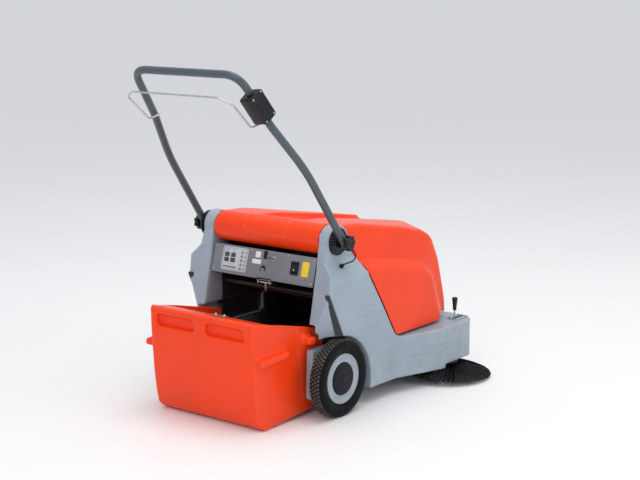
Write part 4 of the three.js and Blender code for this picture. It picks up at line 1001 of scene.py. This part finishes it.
def side_brush():
    """Tufts that fan out and down from a plate held by six screws."""
    chance = random.Random(11)
    tilt = Matrix.Rotation(math.radians(SIDE_BRUSH["tilt"]), 4, Vector((-1, 1, 0)).normalized())
    basis = Matrix.Translation(SIDE_BRUSH["centre"]) @ tilt
    root = SIDE_BRUSH["root"]
    lines = []
    for i in range(SIDE_BRUSH["strands"]):
        level = chance.random() ** 0.8
        tuft = (i % SIDE_BRUSH["tufts"]) + (0.5 if level > 0.55 else 0)
        angle = math.tau * tuft / SIDE_BRUSH["tufts"] + chance.gauss(0, 0.017)
        reach = SIDE_BRUSH["radius"] - 1.5 - chance.uniform(0, 5) - 6 * level * chance.random()
        swirl = -0.16 + chance.uniform(-0.025, 0.025)
        line = []
        for share in (0, 0.22, 0.45, 0.66, 0.84, 1.0):
            r = root + (reach - root) * share
            height = foot_of_bristles(r) * (1 - level) + top_of_bristles(r) * level
            line.append(polar(r, angle + swirl * share * share, height))
        lines.append(line)
    strands("side_brush_tufts", lines, 0.62, "side_brush", ["side_brush_bristles"], basis)
    bm = bmesh.new()
    add_turned(bm, [(0, 2), (44, 2), (45.6, 3.6), (46, 9), (45.2, 17.2), (43.6, 18.4), (22, 19.4), (20, 20.4),
                    (18.6, 23), (16.6, 24), (0, 24)], 64, basis)
    for i in range(6):
        add_screw(bm, basis @ polar(33, math.tau * i / 6, 18.8), basis.to_3x3() @ UP, 3.4, 1.6)
    finish_piece("side_brush_plate", bm, "black", "side_brush", ["side_brush_disc"])


def front_caster():
    screw_set("caster_bolts", grid((-27, 27), (CASTER["y"] - 2, CASTER["y"] + 42), 100.1), 4.6, out=-UP)
    radius = CASTER["radius"]
    basis = wheel_basis(1, CASTER["y"], CASTER["z"])
    turned_piece("caster_tread", [
        (26, -11), (30, -11.6), (33.5, -11.2), (36.4, -9.2), (radius - 0.1, -6), (radius, 0),
        (radius - 0.1, 6), (36.4, 9.2), (33.5, 11.2), (30, 11.6), (26, 11)], 72,
        "tyre", "caster_roller", ["caster_wheel"], basis=basis)
    turned_piece("caster_hub", [
        (5.5, -12.8), (9, -12.8), (10, -11.8), (10.6, -8), (22, -7), (23.5, -10.5), (26.2, -10.8),
        (26.2, 10.8), (23.5, 10.5), (22, 7), (10.6, 8), (10, 11.8), (9, 12.8), (5.5, 12.8)], 56,
        "rim", "caster_roller", basis=basis)


def lift_lever():
    x, y, ledge = LEVER.values()
    bm = bmesh.new()
    add_frame(bm, rectangle(x - 6.6, x + 6.6, y - 10, y + 53, 5, 6), 1.5, ledge + 3.0, ledge + 3.7)
    finish_piece("lever_slot_rim", bm, "black", "chassis", (), 40)
    screw_set("lever_guide_screws", [(*spot, ledge + 3) for spot in ((295, 641), (295, 696), (327, 693))],
              3.6, finish="black")
    place = Matrix.Translation((x, y, 0))
    bm = bmesh.new()
    add_turned(bm, [(0, 118), (3, 118), (3, 232), (0, 232)], 24, place)
    add_tube(bm, [(x - 13.8, y, 125), (x + 13.8, y, 125)], 3.9, 24)
    finish_piece("lift_lever_rod", bm, "steel", "lever", ["lift_lever"])
    turned_piece("lift_lever_grip", [
        (0, 226.5), (5.6, 226.5), (6.4, 227.4), (6.6, 233), (7.2, 242), (8.6, 255), (9.7, 264), (9.9, 268),
        (9.2, 270.4), (7.4, 271.6), (0, 271.9)], 36, "knob", "lever", basis=place)


# ---- Body mouldings, guard strips and batteries ----

ARCH = {"y": 2, "z": 90, "clear": 170}
STRIP = {
    "top": (Vector((281, -53.5, 401)), Vector((300.5, -54.5, 401)), Vector((0.2, -0.98, 0))),
    "foot": (Vector((287, -4, 256)), Vector((302.5, 21, 250)), Vector((0.74, -0.67, 0))),
    "rise": 5.4, "rib": 1.1, "ribs": 6, "steps": 48,
}
BAY_SEAL = [(240, 304), (250.5, 304), (308.5, 204), (298, 204)]


def strip_height(share):
    """The ribbed upper side of a guard strip, from one edge of it to the other."""
    rib = STRIP["rib"] * abs(math.cos(math.pi * STRIP["ribs"] * share))
    return STRIP["rise"] - rib - 2.0 * abs(2 * share - 1) ** 8


def guard_strips():
    """Ribbed strips on the rear corners, from the shoulder down to the wheel arch."""
    points = 8 * STRIP["ribs"]
    shares = [k / points for k in range(points + 1)]
    for name, sign in BOTH_SIDES:
        bm = bmesh.new()
        rings = []
        for step in range(STRIP["steps"] + 1):
            down = step / STRIP["steps"]
            inner, outer, out = (a.lerp(b, down) for a, b in zip(STRIP["top"], STRIP["foot"]))
            middle = inner.lerp(outer, 0.5)
            if math.hypot(middle.y - ARCH["y"], middle.z - ARCH["z"]) < ARCH["clear"]:
                break
            end = min(1.0, 0.55 + step * 0.2)
            ring = [inner.lerp(outer, share) + out * (strip_height(share) * end) for share in shares]
            ring += [outer - out * 2, inner - out * 2]
            rings.append([bm.verts.new(p if sign > 0 else across(p)) for p in ring])
        add_loft(bm, rings)
        finish_piece(f"guard_strip_{name}_ribbed", bm, "strip", "chassis", [f"guard_strip_{name}"], 50)


def bay_seals():
    """A thin rubber lip closes the slit between each side web and the moulding's seam."""
    for name, sign in BOTH_SIDES:
        bm = bmesh.new()
        add_loft(bm, [[bm.verts.new((sign * x, y, z)) for y, z in BAY_SEAL] for x in (219.8, 221.5)])
        finish_piece(f"bay_seal_{name}", bm, "rubber", "chassis", (), 30)


def paint_bay_shade_and_dust(piece):
    """Paints shade, with some dust, near black on the walls of the hopper's bay from just inside the rear
    edge, where the bay lies in shadow.
    """
    half_bay, start, fade = 0.2508, 0.020, 0.012
    share = []
    for vertex in piece.data.vertices:
        x, y, _ = vertex.co - MACHINE_ZERO
        inward = -vertex.normal.x if x > 0 else vertex.normal.x
        inside = abs(x) < half_bay and inward > 0.3
        share.append(min(max((y - start) / fade, 0), 1) if inside else 0.0)
    piece.data.attributes.new("bay_shade_and_dust", "FLOAT", "POINT").data.foreach_set("value", share)


def mouldings():
    softened("hood", "orange")
    softened("hopper_bin", "orange")
    for name, _ in BOTH_SIDES:
        paint_bay_shade_and_dust(softened(f"side_panel_{name}", "grey", 70, 0.16, 42))
    softened("front_bumper", "grey")
    screw_set("catch_plate_screws", [(26, -279, 347.6), (62, -279, 347.6)], 4.2, body="hopper",
              out=(0, 0.19, 0.98))


def batteries():
    """Filler caps and terminals on both batteries, and the two bands that hold the brush motor."""
    for name, sign in BOTH_SIDES:
        bm = bmesh.new()
        for x in (56, 101, 146):
            for y in (410, 450):
                add_turned(bm, [(0, 437.4), (10, 437.4), (10, 441.5), (8.8, 442.8), (0, 443)], 28,
                           Matrix.Translation((sign * x, y, 0)))
        finish_piece(f"battery_caps_{name}", bm, "black", "chassis")
        for x, finish, pole in ((32, "red", "positive"), (170, "steel", "negative")):
            turned_piece(f"battery_{pole}_{name}", [
                (8.3, 438), (11, 438), (11, 446), (10, 447), (8.3, 447)], 28, finish,
                basis=Matrix.Translation((sign * x, 366, 0)))
    bm = bmesh.new()
    for x in (-176, -58):
        add_turned(bm, [(40.1, x - 4), (41.4, x - 3.6), (41.4, x + 3.6), (40.1, x + 4)], 64)
    finish_piece("brush_motor_bands", bm, "steel", "chassis", basis=basis_at((0, 286, 442), RIGHT, (0, 1, 0)))


# ---- Floor, lights and camera ----

VIEW = {"place": (2.910, -3.656, 1.405), "azimuth": 38.174, "elevation": 10.763, "lens": 80.49}
FLOOR_REACH = 90


def studio():
    floor_mesh = bpy.data.meshes.new("floor")
    corners = [(x * FLOOR_REACH, y * FLOOR_REACH, 0) for x, y in ((-1, -1), (1, -1), (1, 1), (-1, 1))]
    floor_mesh.from_pydata(corners, [], [(0, 1, 2, 3)])
    finish = Finish("pale_floor", (244, 244, 243), 0.55, specular=0.3)
    floor_mesh.materials.append(finish.mottled(0.8, 0.985, 1.0).uneven(3.0, 4, -0.05, 0.05).done())
    floor = linked("floor", floor_mesh)

    world = bpy.data.worlds.new("studio")
    bpy.context.scene.world = world
    world.use_nodes = True
    sky = world.node_tree.nodes["Background"]
    sky.inputs["Color"].default_value = (0.94, 0.96, 1.0, 1)
    sky.inputs["Strength"].default_value = 0.76

    add_light("overhead", (0.4, 0.2, 4.2), (0.0, 0.0, 0.4), 3.0, 66)
    add_light("operator_side", (1.6, -4.2, 2.8), (0.0, -0.2, 0.6), 2.2, 34)
    add_light("right_side", (4.6, 0.8, 2.2), (0.2, 0.1, 0.4), 2.0, 30)


def add_light(name, place, aim, size, power):
    data = bpy.data.lights.new(name, "AREA")
    data.shape = "SQUARE"
    data.size = size
    data.energy = power
    light = linked(name, data)
    light.location = place
    light.rotation_euler = (Vector(place) - Vector(aim)).to_track_quat("Z", "Y").to_euler()


def camera():
    data = bpy.data.cameras.new("camera")
    data.lens = VIEW["lens"]
    data.sensor_width = 36
    data.clip_end = 300
    eye = linked("camera", data)
    azimuth = math.radians(VIEW["azimuth"])
    elevation = math.radians(VIEW["elevation"])
    back = Vector((math.sin(azimuth) * math.cos(elevation), -math.cos(azimuth) * math.cos(elevation),
                   math.sin(elevation)))
    eye.location = VIEW["place"]
    eye.rotation_euler = back.to_track_quat("Z", "Y").to_euler()
    bpy.context.scene.camera = eye
    bpy.context.scene.view_settings.view_transform = "Standard"
    bpy.context.scene.view_settings.look = "None"


camera()
handle_cable()
studio()
mouldings()
guard_strips()
bay_seals()
hard_parts()
rear_wheels()
console()
handle()
main_brush()
side_brush()
front_caster()
lift_lever()
batteries()
